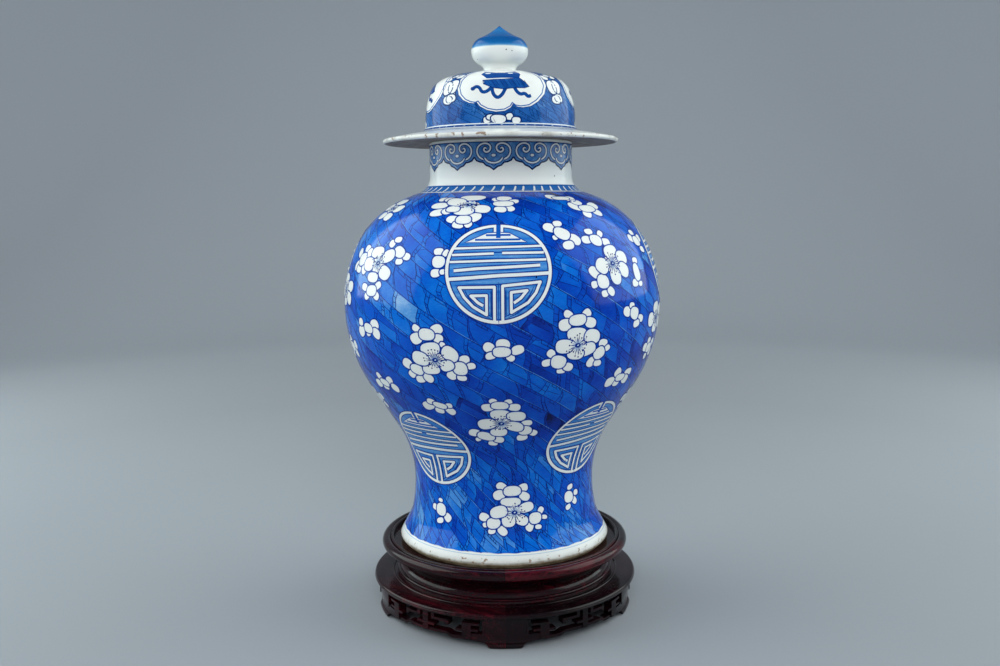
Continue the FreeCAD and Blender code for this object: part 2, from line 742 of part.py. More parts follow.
def build_apron_segments():
    """Five blocks carved to flange, pierced apron and half a leg at each end."""
    wall_inside = apron_face_radius - apron_wall_thickness
    bar_face = apron_face_radius - apron_tuck_depth / 2
    window_height = window_high_level - window_low_level
    chord = apron_face_radius * math.sin(math.radians(number_of(half_segment)))
    body = new_body("apron_pattern")
    turned(body, "block", apron_outline(), segment_angle)
    leg_inside = apron_face_radius - leg_depth
    leg_box = box_outline(leg_inside, wall_inside + apron_tuck_depth, 0, leg_height + flange_thickness / 2)
    for side, name in ((1, "left"), (-1, "right")):
        middle = (half_segment - half_leg_angle / 2) * side
        turned(body, "leg_" + name, leg_box, half_leg_angle, False, middle)
    window_far = apron_face_radius + overrun_length
    window = box_outline(wall_inside - overrun_length, window_far, window_low_level, window_high_level)
    turned(body, "window", window, window_half_angle * 2, True)
    wave = rail_wave(rail_thickness)
    top = window_low_level + overrun_length
    end = wave[-1][0]
    hollow = mirrored(wave) + wave + [(end, top), (-end, top)]
    cut_through(body, "rail_top", hollow)
    for bar, (half, low, high) in enumerate(fret_middle_shares):
        floor = window_low_level + window_height * low if low else rail_low_level
        outline = box_outline(wall_inside, bar_face, floor, window_low_level + window_height * high)
        turned(body, "middle_bar_%d" % bar, outline, window_half_angle * (half * 2))
    for bar, (start, stop, low, high) in enumerate(fret_side_shares):
        floor = window_low_level + window_height * low if low else rail_low_level
        outline = box_outline(wall_inside, bar_face, floor, window_low_level + window_height * high)
        width = window_half_angle * (stop - start)
        for side, name in ((1, "left"), (-1, "right")):
            middle = window_half_angle * ((start + stop) / 2 * side)
            turned(body, "bar_%d_%s" % (bar, name), outline, width, False, middle)
    bead = box_outline(bar_face, apron_face_radius + leg_bead_height / 2, window_low_level, window_high_level)
    for side, name in ((1, "left"), (-1, "right")):
        middle = (window_half_angle + leg_bead_angle / 2) * side
        turned(body, "leg_bead_" + name, bead, leg_bead_angle, False, middle)
    wave = rail_wave(rail_thickness * 0)
    foot = [(chord * share, rail_low_level * up if up else -overrun_length) for share, up in bracket_foot_shares]
    under = mirrored(wave + foot) + wave + foot
    cut_through(body, "underside", under)
    mortises(body, "apron")
    low = flange_top - dowel_bite_depth
    dowel_holes(body, (half_segment / 2, -(half_segment / 2)), low, flange_top + overrun_length)
    place_segments(body, "apron_segment", True)


def build_seat_board():
    """The round board let into the rim's rabbet, on which the jar's foot ring rests."""
    board = doc.addObject("Part::Cylinder", "seat_board")
    board.Label = "seat_board"
    radius = rim_bore_radius - board_clearance
    board.Radius = number_of(radius)
    board.setExpression("Radius", radius.formula)
    board.Height = number_of(board_thickness)
    board.setExpression("Height", board_thickness.formula)
    board.Placement = FreeCAD.Placement(V(0, 0, number_of(ledge_top)), FreeCAD.Rotation())
    board.setExpression("Placement.Base.z", ledge_top.formula)


def place_on_ring(thing, across, up, bearing, offset_radial, offset_along):
    """Place a box so that it lies centred at a bearing on a ring, bound to the sheet."""
    angle = "(%s) * 1deg" % bearing.formula
    spin = FreeCAD.Rotation(V(0, 0, 1), number_of(bearing))
    corner = V(number_of(across - offset_radial), -number_of(offset_along), number_of(up))
    thing.Placement = FreeCAD.Placement(spin.multVec(corner), spin)
    radial = (across - offset_radial).formula
    along = offset_along.formula
    thing.setExpression("Placement.Rotation.Angle", bearing.formula)
    thing.setExpression("Placement.Base.x", "%s * cos(%s) + %s * sin(%s)" % (radial, angle, along, angle))
    thing.setExpression("Placement.Base.y", "%s * sin(%s) - %s * cos(%s)" % (radial, angle, along, angle))
    thing.setExpression("Placement.Base.z", up.formula)


def build_tenons():
    """Five loose tenons across the joints of each ring, one group to a ring."""
    for ring, joints_at_legs in (("rim", True), ("waist", False), ("apron", True)):
        across, up = tenon_centre(ring)
        half_across, half_up = tenon_half[ring]
        tenons = []
        for number in range(leg_count):
            tenon = doc.addObject("Part::Box", "%s_tenon_%d" % (ring, number + 1))
            tenon.Label = "%s_tenon_%d" % (ring, number + 1)
            for side, value in (("Length", half_across * 2), ("Width", tenon_length), ("Height", half_up * 2)):
                setattr(tenon, side, number_of(value))
                tenon.setExpression(side, value.formula)
            bearing = segment_turn(number, joints_at_legs) + half_segment
            place_on_ring(tenon, across, up - half_up, bearing, half_across, tenon_length / 2)
            tenons.append(tenon)
        group = doc.addObject("Part::Compound", ring + "_tenons")
        group.Label = ring + "_tenons"
        group.Links = tenons


def build_dowels():
    """Ten upright dowels that pin the apron, the waist and the rim together."""
    dowels = []
    length = waist_height + dowel_bite_depth * 2 - joint_clearance * 2
    foot = flange_top - dowel_bite_depth + joint_clearance
    for number in range(leg_count * 2):
        dowel = doc.addObject("Part::Cylinder", "dowel_%d" % (number + 1))
        dowel.Label = "dowel_%d" % (number + 1)
        dowel.Radius = number_of(dowel_radius)
        dowel.setExpression("Radius", dowel_radius.formula)
        dowel.Height = number_of(length)
        dowel.setExpression("Height", length.formula)
        bearing = segment_turn(0, False) + half_segment / 2 + half_segment * number
        nothing = dowel_radius * 0
        place_on_ring(dowel, dowel_ring_radius, foot, bearing, nothing, nothing)
        dowels.append(dowel)
    group = doc.addObject("Part::Compound", "stand_dowels")
    group.Label = "stand_dowels"
    group.Links = dowels


build_jar()
build_cover()
build_cover_knob()
build_seat_board()
build_rim_segments()
build_waist_segments()
build_apron_segments()
build_tenons()
build_dowels()
doc.recompute()

for thing in doc.Objects:
    if "Invalid" in thing.State or "Error" in thing.State:
        raise RuntimeError("%s: %s" % (thing.Label, thing.State))

single = ["jar", "cover", "cover_knob", "seat_board"]
rings = ["rim_segment_%d", "waist_segment_%d", "apron_segment_%d"]
groups = ["rim_tenons", "waist_tenons", "apron_tenons", "stand_dowels"]
nodes = single + [name % (k + 1) for name in rings for k in range(leg_count)] + groups
labelled = {thing.Label: thing for thing in doc.Objects}

os.makedirs("parts", exist_ok=True)
for node in nodes:
    shape = labelled[node].Shape
    if shape.isNull() or not shape.isValid():
        raise RuntimeError("%s has no valid shape" % node)
    shape.exportStep("parts/%s.step" % node)
    print("%-18s solids %2d faces %3d volume %.0f" % (node, len(shape.Solids), len(shape.Faces), shape.Volume))
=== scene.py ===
"""A blue and white potiche with its cover, on a round hardwood stand with five legs."""
import math
import random

import bpy
import numpy as np
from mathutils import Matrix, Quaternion, Vector
from mathutils.geometry import delaunay_2d_cdt


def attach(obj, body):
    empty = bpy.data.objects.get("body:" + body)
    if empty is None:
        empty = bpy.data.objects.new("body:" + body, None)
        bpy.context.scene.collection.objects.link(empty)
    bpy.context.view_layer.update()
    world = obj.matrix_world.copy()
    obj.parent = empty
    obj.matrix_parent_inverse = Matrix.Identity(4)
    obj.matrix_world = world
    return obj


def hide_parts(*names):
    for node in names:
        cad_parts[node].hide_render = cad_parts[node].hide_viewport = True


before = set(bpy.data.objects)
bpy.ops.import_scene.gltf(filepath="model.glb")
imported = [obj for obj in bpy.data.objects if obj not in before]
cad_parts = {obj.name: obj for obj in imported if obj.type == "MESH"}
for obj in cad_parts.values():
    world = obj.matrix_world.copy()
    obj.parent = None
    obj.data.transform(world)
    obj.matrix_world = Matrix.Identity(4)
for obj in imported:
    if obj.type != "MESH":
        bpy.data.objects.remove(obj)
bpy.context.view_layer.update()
MM = 0.001


# Outlines: points (radius, level) in millimetres, in the order that keeps the clay on the right hand

def polar(centre, radius, degrees):
    angle = math.radians(degrees)
    return (centre[0] + radius * math.cos(angle), centre[1] + radius * math.sin(angle))


def arc(centre, radius, start, end, step=1.1):
    """Points along an arc, angles counted from the outward direction."""
    count = max(4, int(abs(math.radians(end - start)) * radius / step) + 1)
    return [polar(centre, radius, start + (end - start) * k / count) for k in range(count + 1)]


def outline(*parts, run=4.0):
    """One list of points from single points and arcs, with long straight runs divided."""
    points = []
    for part in parts:
        for point in (part if isinstance(part, list) else [part]):
            if points:
                last = points[-1]
                far = math.dist(last, point)
                if far < 0.05:
                    continue
                cuts = int(far / run)
                for k in range(1, cuts + 1):
                    share = k / (cuts + 1)
                    points.append((last[0] + (point[0] - last[0]) * share, last[1] + (point[1] - last[1]) * share))
            points.append(point)
    return points


class Skin:
    """A turned outside, met by bearing from the front and by the way along its outline from the top."""

    def __init__(self, points):
        self.points = np.array(points, float)
        step = np.diff(self.points, axis=0)
        length = np.hypot(step[:, 0], step[:, 1])
        self.ways = np.concatenate([[0.0], np.cumsum(length)])
        middle = (self.ways[1:] + self.ways[:-1]) / 2
        self.across = np.interp(self.ways, middle, -step[:, 1] / length)
        self.upward = np.interp(self.ways, middle, step[:, 0] / length)

    def radius(self, way):
        return np.interp(way, self.ways, self.points[:, 0])

    def way(self, level):
        return float(np.interp(-level, -self.points[:, 1], self.ways))

    def place(self, angle, way, lift):
        """Points and directions outward at angles in radians, ways and lifts in millimetres."""
        across = np.interp(way, self.ways, self.across)
        upward = np.interp(way, self.ways, self.upward)
        size = np.hypot(across, upward)
        across, upward = across / size, upward / size
        radius = self.radius(way) + lift * across
        level = np.interp(way, self.ways, self.points[:, 1]) + lift * upward
        points = np.stack([radius * np.sin(angle), -radius * np.cos(angle), level], 1) * MM
        return points, np.stack([across * np.sin(angle), -across * np.cos(angle), upward], 1)


# Levels of the foot ring's rest and of the neck's rim above the floor
FOOT = 52.9
RIM = 366.1

jar_outside = outline(
    arc((53.6, 364.7), 1.4, 90, 0, 0.4), arc((68.0, 339.97), 13.0, 180, 250), arc((44.93, 253.66), 76.0, 70, 24, 1.6),
    arc((23.0, 243.9), 100.0, 24, 0, 1.8), arc((3.0, 243.9), 120.0, 0, -32.57, 1.8), arc((155.0, 102.9), 84.0, 147.43, 180, 1.8),
    arc((189.0, 102.9), 118.0, 180, 192.8, 1.8), arc((89.53, 80.3), 16.0, 192.8, 208.5), arc((81.06, 57.35), 2.4, 28.5, -45, 0.4))
jar_inside = outline(
    (0.0, 68.9), arc((42.5, 90.9), 22.0, -90, 0, 2.0), arc((155.0, 102.9), 90.5, 180, 147.43, 3.0),
    arc((3.0, 243.9), 113.5, -32.57, 0, 3.0), arc((23.0, 243.9), 93.5, 0, 24, 3.0), arc((44.93, 253.66), 69.5, 24, 70, 3.0),
    arc((68.0, 339.97), 19.5, 250, 180, 1.5), arc((49.9, 364.7), 1.4, 180, 90, 0.4))
jar_base = outline((80.0, 52.9), (66.5, 52.9), (64.1, 61.9), (0.0, 61.9))

wall_centre = (-8.4, RIM + 14.5)
turn_centre = polar(wall_centre, 49.5, 20)
crown_centre = polar(turn_centre, -63.5, 70)
foot_centre = (wall_centre[0] + 66.0 * math.cos(math.asin(2.0 / 66.0)) + 5.2, RIM + 12.5)
edge_centre = (88.9, RIM + 0.5)
CROWN = polar(crown_centre, 80.0, 80.5)[1] + (polar(crown_centre, 80.0, 80.5)[0] - 13.2) / math.tan(math.radians(80.5))
cover_outside = outline(
    (13.2, CROWN), arc(crown_centre, 80.0, 80.5, 70), arc(turn_centre, 16.5, 70, 20, 0.9), arc(wall_centre, 66.0, 20, -1.74, 1.2),
    arc(foot_centre, 5.2, 180, 259.4, 0.6), arc(edge_centre, 1.7, 79.4, -90, 0.35))
cover_under = outline(
    (60.0, RIM), (46.7, RIM), (46.7, RIM - 13.0), (45.7, RIM - 14.0), (42.1, RIM - 14.0), (42.1, RIM + 3.5),
    arc(wall_centre, 61.0, -1.9, 20, 2.0), arc(turn_centre, 11.5, 20, 70, 1.0), arc(crown_centre, 75.0, 70, 80.5, 2.0),
    (13.2, CROWN - 5.0), (0.0, CROWN - 5.0))

knob_outside = outline(
    (0.0, CROWN + 33.8), (0.5, CROWN + 33.72),
    arc((43.865, CROWN + 88.61), 70.0, 232.13, 247.23, 0.8), arc((11.1, CROWN + 15.0), 10.7, 58, 0, 0.6),
    arc((11.0, CROWN + 15.0), 10.8, 0, -65, 0.6),
    arc((18.1, CROWN - 0.23), 6.0, 115, 176, 0.4), (12.4, CROWN + 0.3), (13.2, CROWN))


class Brushwork:
    """Flat brush shapes laid over a skin: places, lifts, washes of cobalt and a chart for the finish."""

    def __init__(self, name, skin):
        self.name = name
        self.skin = skin
        self.angle, self.way, self.lift, self.wash = [], [], [], []
        self.faces, self.chart = [], []
        self.cells, self.ribbons, self.count = 0, 0.0, 0

    def add(self, angle, way, lift, wash, faces, chart):
        self.angle.append(np.asarray(angle, float))
        self.way.append(np.asarray(way, float))
        self.lift.append(np.broadcast_to(np.asarray(lift, float), self.angle[-1].shape))
        self.wash.append(np.broadcast_to(np.asarray(wash, float), self.angle[-1].shape))
        self.chart.append(chart)
        self.faces += [[corner + self.count for corner in face] for face in faces]
        self.count += len(self.angle[-1])

    def lay(self, spot, x, y):
        """Angles and ways of points x to the right and y up, in millimetres, from a spot (bearing, level)."""
        way = self.skin.way(spot[1]) - np.asarray(y, float)
        return math.radians(spot[0]) + np.asarray(x, float) / self.skin.radius(way), way

    def in_cell(self, x, y):
        """Chart of a shape in a cell of its own."""
        x, y = np.asarray(x, float), np.asarray(y, float)
        across, up = x - (x.max() + x.min()) / 2, y - (y.max() + y.min()) / 2
        size = max(np.ptp(x), np.ptp(y)) * 1.12
        self.cells += 1
        return ("cell", self.cells - 1, across / size, up / size)

    def petal(self, spot, x, y, wide, high, tilt, lift, line=0.91, fill=0.0, edge=0.74, seed=0):
        """A white lobe with its outline drawn round it."""
        draw = random.Random(seed)
        count = 18
        lean, crook = draw.uniform(0, 6), draw.uniform(0, 6)
        swell = [1 + 0.035 * math.sin(4 * math.pi * k / count + lean) + 0.02 * math.sin(6 * math.pi * k / count + crook) for k in range(count)]
        tilt = math.radians(tilt)
        wide, high = wide + edge * 1.6, high + edge * 1.6
        rim = []
        for k in range(count):
            angle = 2 * math.pi * k / count
            a = wide / 2 * math.copysign(abs(math.cos(angle)) ** 0.86, math.cos(angle)) * swell[k]
            b = high / 2 * math.copysign(abs(math.sin(angle)) ** 0.86, math.sin(angle)) * swell[k]
            rim.append((a * math.cos(tilt) - b * math.sin(tilt), a * math.sin(tilt) + b * math.cos(tilt)))
        rings = []
        for inward in (0.0, edge, edge + 0.3, None):
            for px, py in rim:
                size = math.hypot(px, py)
                share = 0.5 if inward is None else 1 - inward / size
                rings.append((px * share, py * share))
        rings.append((0.0, 0.0))
        faces = []
        for ring in range(3):
            for k in range(count):
                after = (k + 1) % count
                faces.append([ring * count + k, ring * count + after, (ring + 1) * count + after, (ring + 1) * count + k])
        faces += [[3 * count + k, 3 * count + (k + 1) % count, 4 * count] for k in range(count)]
        local = np.array(rings)
        angle, way = self.lay(spot, local[:, 0] + x, local[:, 1] + y)
        wash = [line] * (2 * count) + [fill + 0.03] * count + [fill] * (count + 1)
        self.add(angle, way, lift, wash, faces, self.in_cell(local[:, 0], local[:, 1]))

    def stroke(self, spot, points, width, wash, lift, closed=False, taper=0.0, step=2.4, way_points=None):
        """A brush line through local points, or through (angle, way) pairs on the skin where spot is None."""
        points = [tuple(p) for p in points]
        if closed:
            points.append(points[0])
        fine = [points[0]]
        for near, far in zip(points, points[1:]):
            cuts = max(1, int(math.dist(near, far) / step))
            fine += [(near[0] + (far[0] - near[0]) * k / cuts, near[1] + (far[1] - near[1]) * k / cuts) for k in range(1, cuts + 1)]
        line = np.array(fine)
        run = np.diff(line, axis=0)
        size = np.hypot(run[:, 0], run[:, 1])
        if (size < 1e-6).any():
            keep = np.concatenate([[True], size > 1e-6])
            line = line[keep]
            run = np.diff(line, axis=0)
            size = np.hypot(run[:, 0], run[:, 1])
        run /= size[:, None]
        before = np.vstack([run[-1:] if closed else run[:1], run])
        after = np.vstack([run, run[:1] if closed else run[-1:]])
        lean = before + after
        lean /= np.maximum(np.hypot(lean[:, 0], lean[:, 1]), 1e-6)[:, None]
        mitre = 1 / np.maximum((lean * after).sum(1), 0.6)
        side = np.stack([-lean[:, 1], lean[:, 0]], 1) * mitre[:, None]
        along = np.concatenate([[0.0], np.cumsum(size)])
        half = np.full(len(line), width / 2)
        if taper and not closed:
            half *= np.clip(np.minimum(along, along[-1] - along) / (along[-1] * taper) + 0.25, 0, 1)
        left, right = line + side * half[:, None], line - side * half[:, None]
        both = np.vstack([right, left])
        if spot is None:
            angle, way = both[:, 0] / ICE_RADIUS, both[:, 1]
            # Widths are kept true where the skin narrows
            middle = np.vstack([line, line])
            angle = middle[:, 0] / ICE_RADIUS + (both[:, 0] - middle[:, 0]) / self.skin.radius(way)
        else:
            angle, way = self.lay(spot, both[:, 0], both[:, 1])
        n = len(line)
        faces = [[k, k + 1, n + k + 1, n + k] for k in range(n - 1)]
        chart = ("ribbon", self.ribbons, np.concatenate([along, along]), np.concatenate([np.zeros(n), np.ones(n)]))
        self.ribbons += along[-1] + 1.0
        self.add(angle, way, lift, wash, faces, chart)

    def dot(self, spot, x, y, wide, wash, lift, high=None):
        """A small round touch of the brush."""
        turn = 2 * math.pi * np.arange(12) / 12
        local = np.array([[0.0, 0.0]] + [[wide / 2 * math.cos(a), (high or wide) / 2 * math.sin(a)] for a in turn])
        angle, way = self.lay(spot, local[:, 0] + x, local[:, 1] + y)
        self.add(angle, way, lift, wash, [[0, k + 1, (k + 1) % 12 + 1] for k in range(12)], self.in_cell(local[:, 0], local[:, 1]))

    def area(self, spot, rim, wash, lift, pitch=3.0):
        """A filled shape inside a rim of local points, meshed finely enough to bend with the skin."""
        fine = []
        for near, far in zip(rim, rim[1:] + rim[:1]):
            cuts = max(1, int(math.dist(near, far) / pitch))
            fine += [Vector((near[0] + (far[0] - near[0]) * k / cuts, near[1] + (far[1] - near[1]) * k / cuts)) for k in range(cuts)]
        low = [min(p[k] for p in fine) for k in (0, 1)]
        high = [max(p[k] for p in fine) for k in (0, 1)]
        rows = int((high[1] - low[1]) / (pitch * 0.87))
        inner = []
        for row in range(1, rows + 1):
            y = low[1] + row * pitch * 0.87
            crossings = []
            for near, far in zip(fine, fine[1:] + fine[:1]):
                if (near[1] > y) != (far[1] > y):
                    crossings.append(near[0] + (y - near[1]) * (far[0] - near[0]) / (far[1] - near[1]))
            crossings.sort()
            for left, right in zip(crossings[::2], crossings[1::2]):
                x = left + pitch * (0.6 if row % 2 else 1.0)
                while x < right - pitch * 0.5:
                    inner.append(Vector((x, y)))
                    x += pitch
        points, _, faces = delaunay_2d_cdt(fine + inner, [], [list(range(len(fine)))], 1, 1e-5)[:3]
        x, y = np.array([p[0] for p in points]), np.array([p[1] for p in points])
        angle, way = self.lay(spot, x, y)
        if callable(wash):
            wash = wash(x, y)
        self.add(angle, way, lift, wash, [list(f) for f in faces], self.in_cell(x, y))

    def finish(self, material, body, node):
        """Make the mesh, and let it ride on its body and stand for its node."""
        points, outward = self.skin.place(np.concatenate(self.angle), np.concatenate(self.way), np.concatenate(self.lift))
        corner = np.array([face[:3] for face in self.faces])
        facing = np.cross(points[corner[:, 1]] - points[corner[:, 0]], points[corner[:, 2]] - points[corner[:, 0]])
        inward = (facing * outward[corner[:, 0]]).sum(1) < 0
        mesh = bpy.data.meshes.new(self.name)
        mesh.from_pydata(points.tolist(), [], [face[::-1] if turn else face for face, turn in zip(self.faces, inward)])
        values = mesh.attributes.new("wash", "FLOAT", "POINT")
        values.data.foreach_set("value", np.concatenate(self.wash).astype(np.float32))
        chart = self.charted()
        corners = np.zeros(len(mesh.loops), np.int32)
        mesh.loops.foreach_get("vertex_index", corners)
        layer = mesh.uv_layers.new(name="OFBake")
        layer.data.foreach_set("uv", chart[corners].astype(np.float32).ravel())
        mesh.polygons.foreach_set("use_smooth", [True] * len(mesh.polygons))
        mesh.normals_split_custom_set_from_vertices([tuple(n) for n in outward])
        return dressed(self.name, mesh, [material], body, node)

    def charted(self):
        """Every shape's share of the unit square: cells below, ribbons in rows above, or the whole for a sheet."""
        split = 0.0 if not self.cells else (1.0 if not self.ribbons else 0.72)
        side = max(1, math.ceil(math.sqrt(self.cells / max(split, 0.01)))) if self.cells else 1
        rows_high = 1.0 - split
        rows = max(4, int(math.sqrt(self.ribbons * rows_high / 1.4))) if self.ribbons else 1
        row_length = self.ribbons / rows * 1.02 + 1e-6
        out = []
        for kind, first, a, b in self.chart:
            if kind == "sheet":
                out.append(np.stack([a, b], 1))
            elif kind == "cell":
                column, row = first % side, first // side
                out.append(np.stack([(column + 0.5 + a) / side, (row + 0.5 + b) / side * min(1.0, split * side / max(1, math.ceil(self.cells / side)))], 1))
            else:
                place = (first + a) / row_length
                row = np.floor(place)
                out.append(np.stack([place - row, split + (row + 0.15 + 0.7 * b) / (rows + 1) * rows_high], 1))
        return np.concatenate(out)


def dressed(name, mesh, materials, body, node=None):
    """Put a mesh in the scene with its materials, on a body, in place of a node."""
    for material in materials:
        mesh.materials.append(material)
    piece = bpy.data.objects.new(name, mesh)
    bpy.context.scene.collection.objects.link(piece)
    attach(piece, body)
    if node:
        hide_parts(node)
        "porcelain_" + node
    return piece


def turned(name, points, segments, materials, body, node, slot_of, wash_of=None, soil_of=None):
    """A closed turned piece from its outline, which starts and ends on the axis."""
    rows = [(r, z) for r, z in points]
    verts, faces, slots, chart = [], [], [], []
    index = []
    for r, z in rows:
        if r < 1e-6:
            index.append([len(verts)] * segments)
            verts.append((0.0, 0.0, z * MM))
            continue
        index.append(list(range(len(verts), len(verts) + segments)))
        for k in range(segments):
            angle = 2 * math.pi * k / segments + math.pi
            verts.append((r * math.sin(angle) * MM, -r * math.cos(angle) * MM, z * MM))
    ways = np.concatenate([[0.0], np.cumsum([math.dist(a, b) for a, b in zip(rows, rows[1:])])])
    ways = ways / ways[-1]
    for row in range(len(rows) - 1):
        slot = slot_of((rows[row][0] + rows[row + 1][0]) / 2, (rows[row][1] + rows[row + 1][1]) / 2, row)
        for k in range(segments):
            after = (k + 1) % segments
            ring = [(index[row][k], k, row), (index[row + 1][k], k, row + 1), (index[row + 1][after], k + 1, row + 1), (index[row][after], k + 1, row)]
            corners = []
            for corner in ring:
                if corner[0] not in [c[0] for c in corners]:
                    corners.append(corner)
            faces.append([c[0] for c in corners])
            slots.append(slot)
            chart += [(c[1] / segments, ways[c[2]]) for c in corners]
    mesh = bpy.data.meshes.new(name)
    mesh.from_pydata(verts, [], faces)
    mesh.polygons.foreach_set("material_index", slots)
    mesh.polygons.foreach_set("use_smooth", [True] * len(mesh.polygons))
    layer = mesh.uv_layers.new(name="OFBake")
    layer.data.foreach_set("uv", np.array(chart, np.float32).ravel())
    radius = [math.hypot(v[0], v[1]) / MM for v in verts]
    for label, rule in (("wash", wash_of), ("soil", soil_of)):
        values = mesh.attributes.new(label, "FLOAT", "POINT")
        if rule:
            values.data.foreach_set("value", [rule(r, v[2] / MM) for r, v in zip(radius, verts)])
    mesh.set_sharp_from_angle(angle=math.radians(42))
    return dressed(name, mesh, materials, body, node)


# Finishes

class Value:
    """A value or colour inside a finish, carried on by Python's operators."""

    def __init__(self, finish, socket):
        self.finish = finish
        self.socket = socket

    def maths(self, operation, first, second=None):
        inputs = {0: first} if second is None else {0: first, 1: second}
        return self.finish.node("ShaderNodeMath", {"operation": operation}, inputs)

    def __add__(self, other):
        return self.maths("ADD", self, other)

    __radd__ = __add__

    def __sub__(self, other):
        return self.maths("SUBTRACT", self, other)

    def __rsub__(self, other):
        return self.maths("SUBTRACT", other, self)

    def __mul__(self, other):
        return self.maths("MULTIPLY", self, other)

    __rmul__ = __mul__

    def __pow__(self, other):
        return self.maths("POWER", self, other)

    def over(self, low, high):
        """0 below low, 1 above high and a straight rise between them."""
        return self.finish.node("ShaderNodeMapRange", {"clamp": True}, {"Value": self, "From Min": low, "From Max": high})


class Finish:
    """A material that is built up from nodes and ends in one gloss or matt surface."""

    def __init__(self, name):
        self.material = bpy.data.materials.new(name)
        self.material.use_nodes = True
        self.tree = self.material.node_tree
        self.tree.nodes.clear()

    def node(self, kind, settings=None, inputs=None, output=0):
        node = self.tree.nodes.new(kind)
        for name, value in (settings or {}).items():
            if name == "stops":
                ramp = node.color_ramp
                while len(ramp.elements) > 1:
                    ramp.elements.remove(ramp.elements[-1])
                ramp.elements[0].position = value[0][0]
                ramp.elements[0].color = value[0][1]
                for place, colour in value[1:]:
                    ramp.elements.new(place).color = colour
            else:
                setattr(node, name, value)
        for name, value in (inputs or {}).items():
            if isinstance(value, Value):
                self.tree.links.new(value.socket, node.inputs[name])
            else:
                node.inputs[name].default_value = value
        return Value(self, node.outputs[output])

    def mix(self, first, second, share, blend="MIX"):
        settings = {"data_type": "RGBA", "blend_type": blend, "clamp_result": False}
        return self.node("ShaderNodeMix", settings, {0: share, 6: first, 7: second}, 2)

    def ramp(self, value, stops):
        return self.node("ShaderNodeValToRGB", {"stops": stops}, {"Fac": value})

    def places(self, turn=0.0, stretch=(1.0, 1.0, 1.0)):
        """Object coordinates in millimetres, turned about the axis and stretched."""
        plain = self.node("ShaderNodeTexCoord", None, None, "Object")
        if turn:
            plain = self.node("ShaderNodeVectorRotate", {"rotation_type": "Z_AXIS"}, {"Vector": plain, "Angle": -turn})
        scale = tuple(s / MM for s in stretch)
        return self.node("ShaderNodeVectorMath", {"operation": "MULTIPLY"}, {0: plain, 1: scale})

    def noise(self, where, size, detail=3.0, roughness=0.5, distortion=0.0):
        """Soft noise about 0.5, with lumps of the given size in millimetres."""
        inputs = {"Vector": where, "Scale": 1.0 / size, "Detail": detail, "Roughness": roughness, "Distortion": distortion}
        return self.node("ShaderNodeTexNoise", None, inputs)

    def attribute(self, name):
        return self.node("ShaderNodeAttribute", {"attribute_name": name}, None, "Fac")

    def bump(self, height, strength, depth):
        return self.node("ShaderNodeBump", None, {"Height": height, "Strength": strength, "Distance": depth * MM})

    def surface(self, **inputs):
        names = {key.replace("_", " "): value for key, value in inputs.items()}
        shader = self.node("ShaderNodeBsdfPrincipled", None, names)
        out = self.tree.nodes.new("ShaderNodeOutputMaterial")
        self.tree.links.new(shader.socket, out.inputs["Surface"])
        return self.material


def srgb(red, green, blue):
    """A colour given as it is seen on a screen, 0 to 255."""
    return tuple((c / 255 / 12.92 if c <= 10 else ((c / 255 + 0.055) / 1.055) ** 2.4) for c in (red, green, blue)) + (1.0,)


WHITE_GLAZE = srgb(226, 229, 226)
COBALT = [(0.0, WHITE_GLAZE), (0.18, srgb(160, 190, 220)), (0.36, srgb(78, 142, 206)), (0.52, srgb(6, 106, 204)),
          (0.66, srgb(0, 79, 188)), (0.80, srgb(0, 56, 166)), (0.92, srgb(0, 36, 128)), (1.0, srgb(0, 14, 66))]
SOFT_COBALT = [(0.0, WHITE_GLAZE), (0.18, srgb(166, 192, 214)), (0.36, srgb(84, 136, 190)), (0.52, srgb(38, 98, 168)),
               (0.66, srgb(18, 76, 148)), (0.80, srgb(8, 54, 124)), (0.92, srgb(2, 34, 90)), (1.0, srgb(2, 14, 46))]
ROUNDEL_COBALT = [(0.0, WHITE_GLAZE), (0.18, srgb(162, 191, 220)), (0.36, srgb(80, 142, 204)), (0.52, srgb(26, 106, 192)),
                  (0.66, srgb(10, 80, 170)), (0.80, srgb(4, 56, 146)), (0.92, srgb(1, 35, 110)), (1.0, srgb(1, 14, 56))]
KNOB_COBALT = [(0.0, WHITE_GLAZE), (0.18, srgb(170, 196, 212)), (0.36, srgb(84, 146, 192)), (0.52, srgb(30, 106, 168)),
               (0.66, srgb(6, 82, 146)), (0.80, srgb(2, 58, 120)), (0.92, srgb(0, 34, 84)), (1.0, srgb(2, 14, 40))]


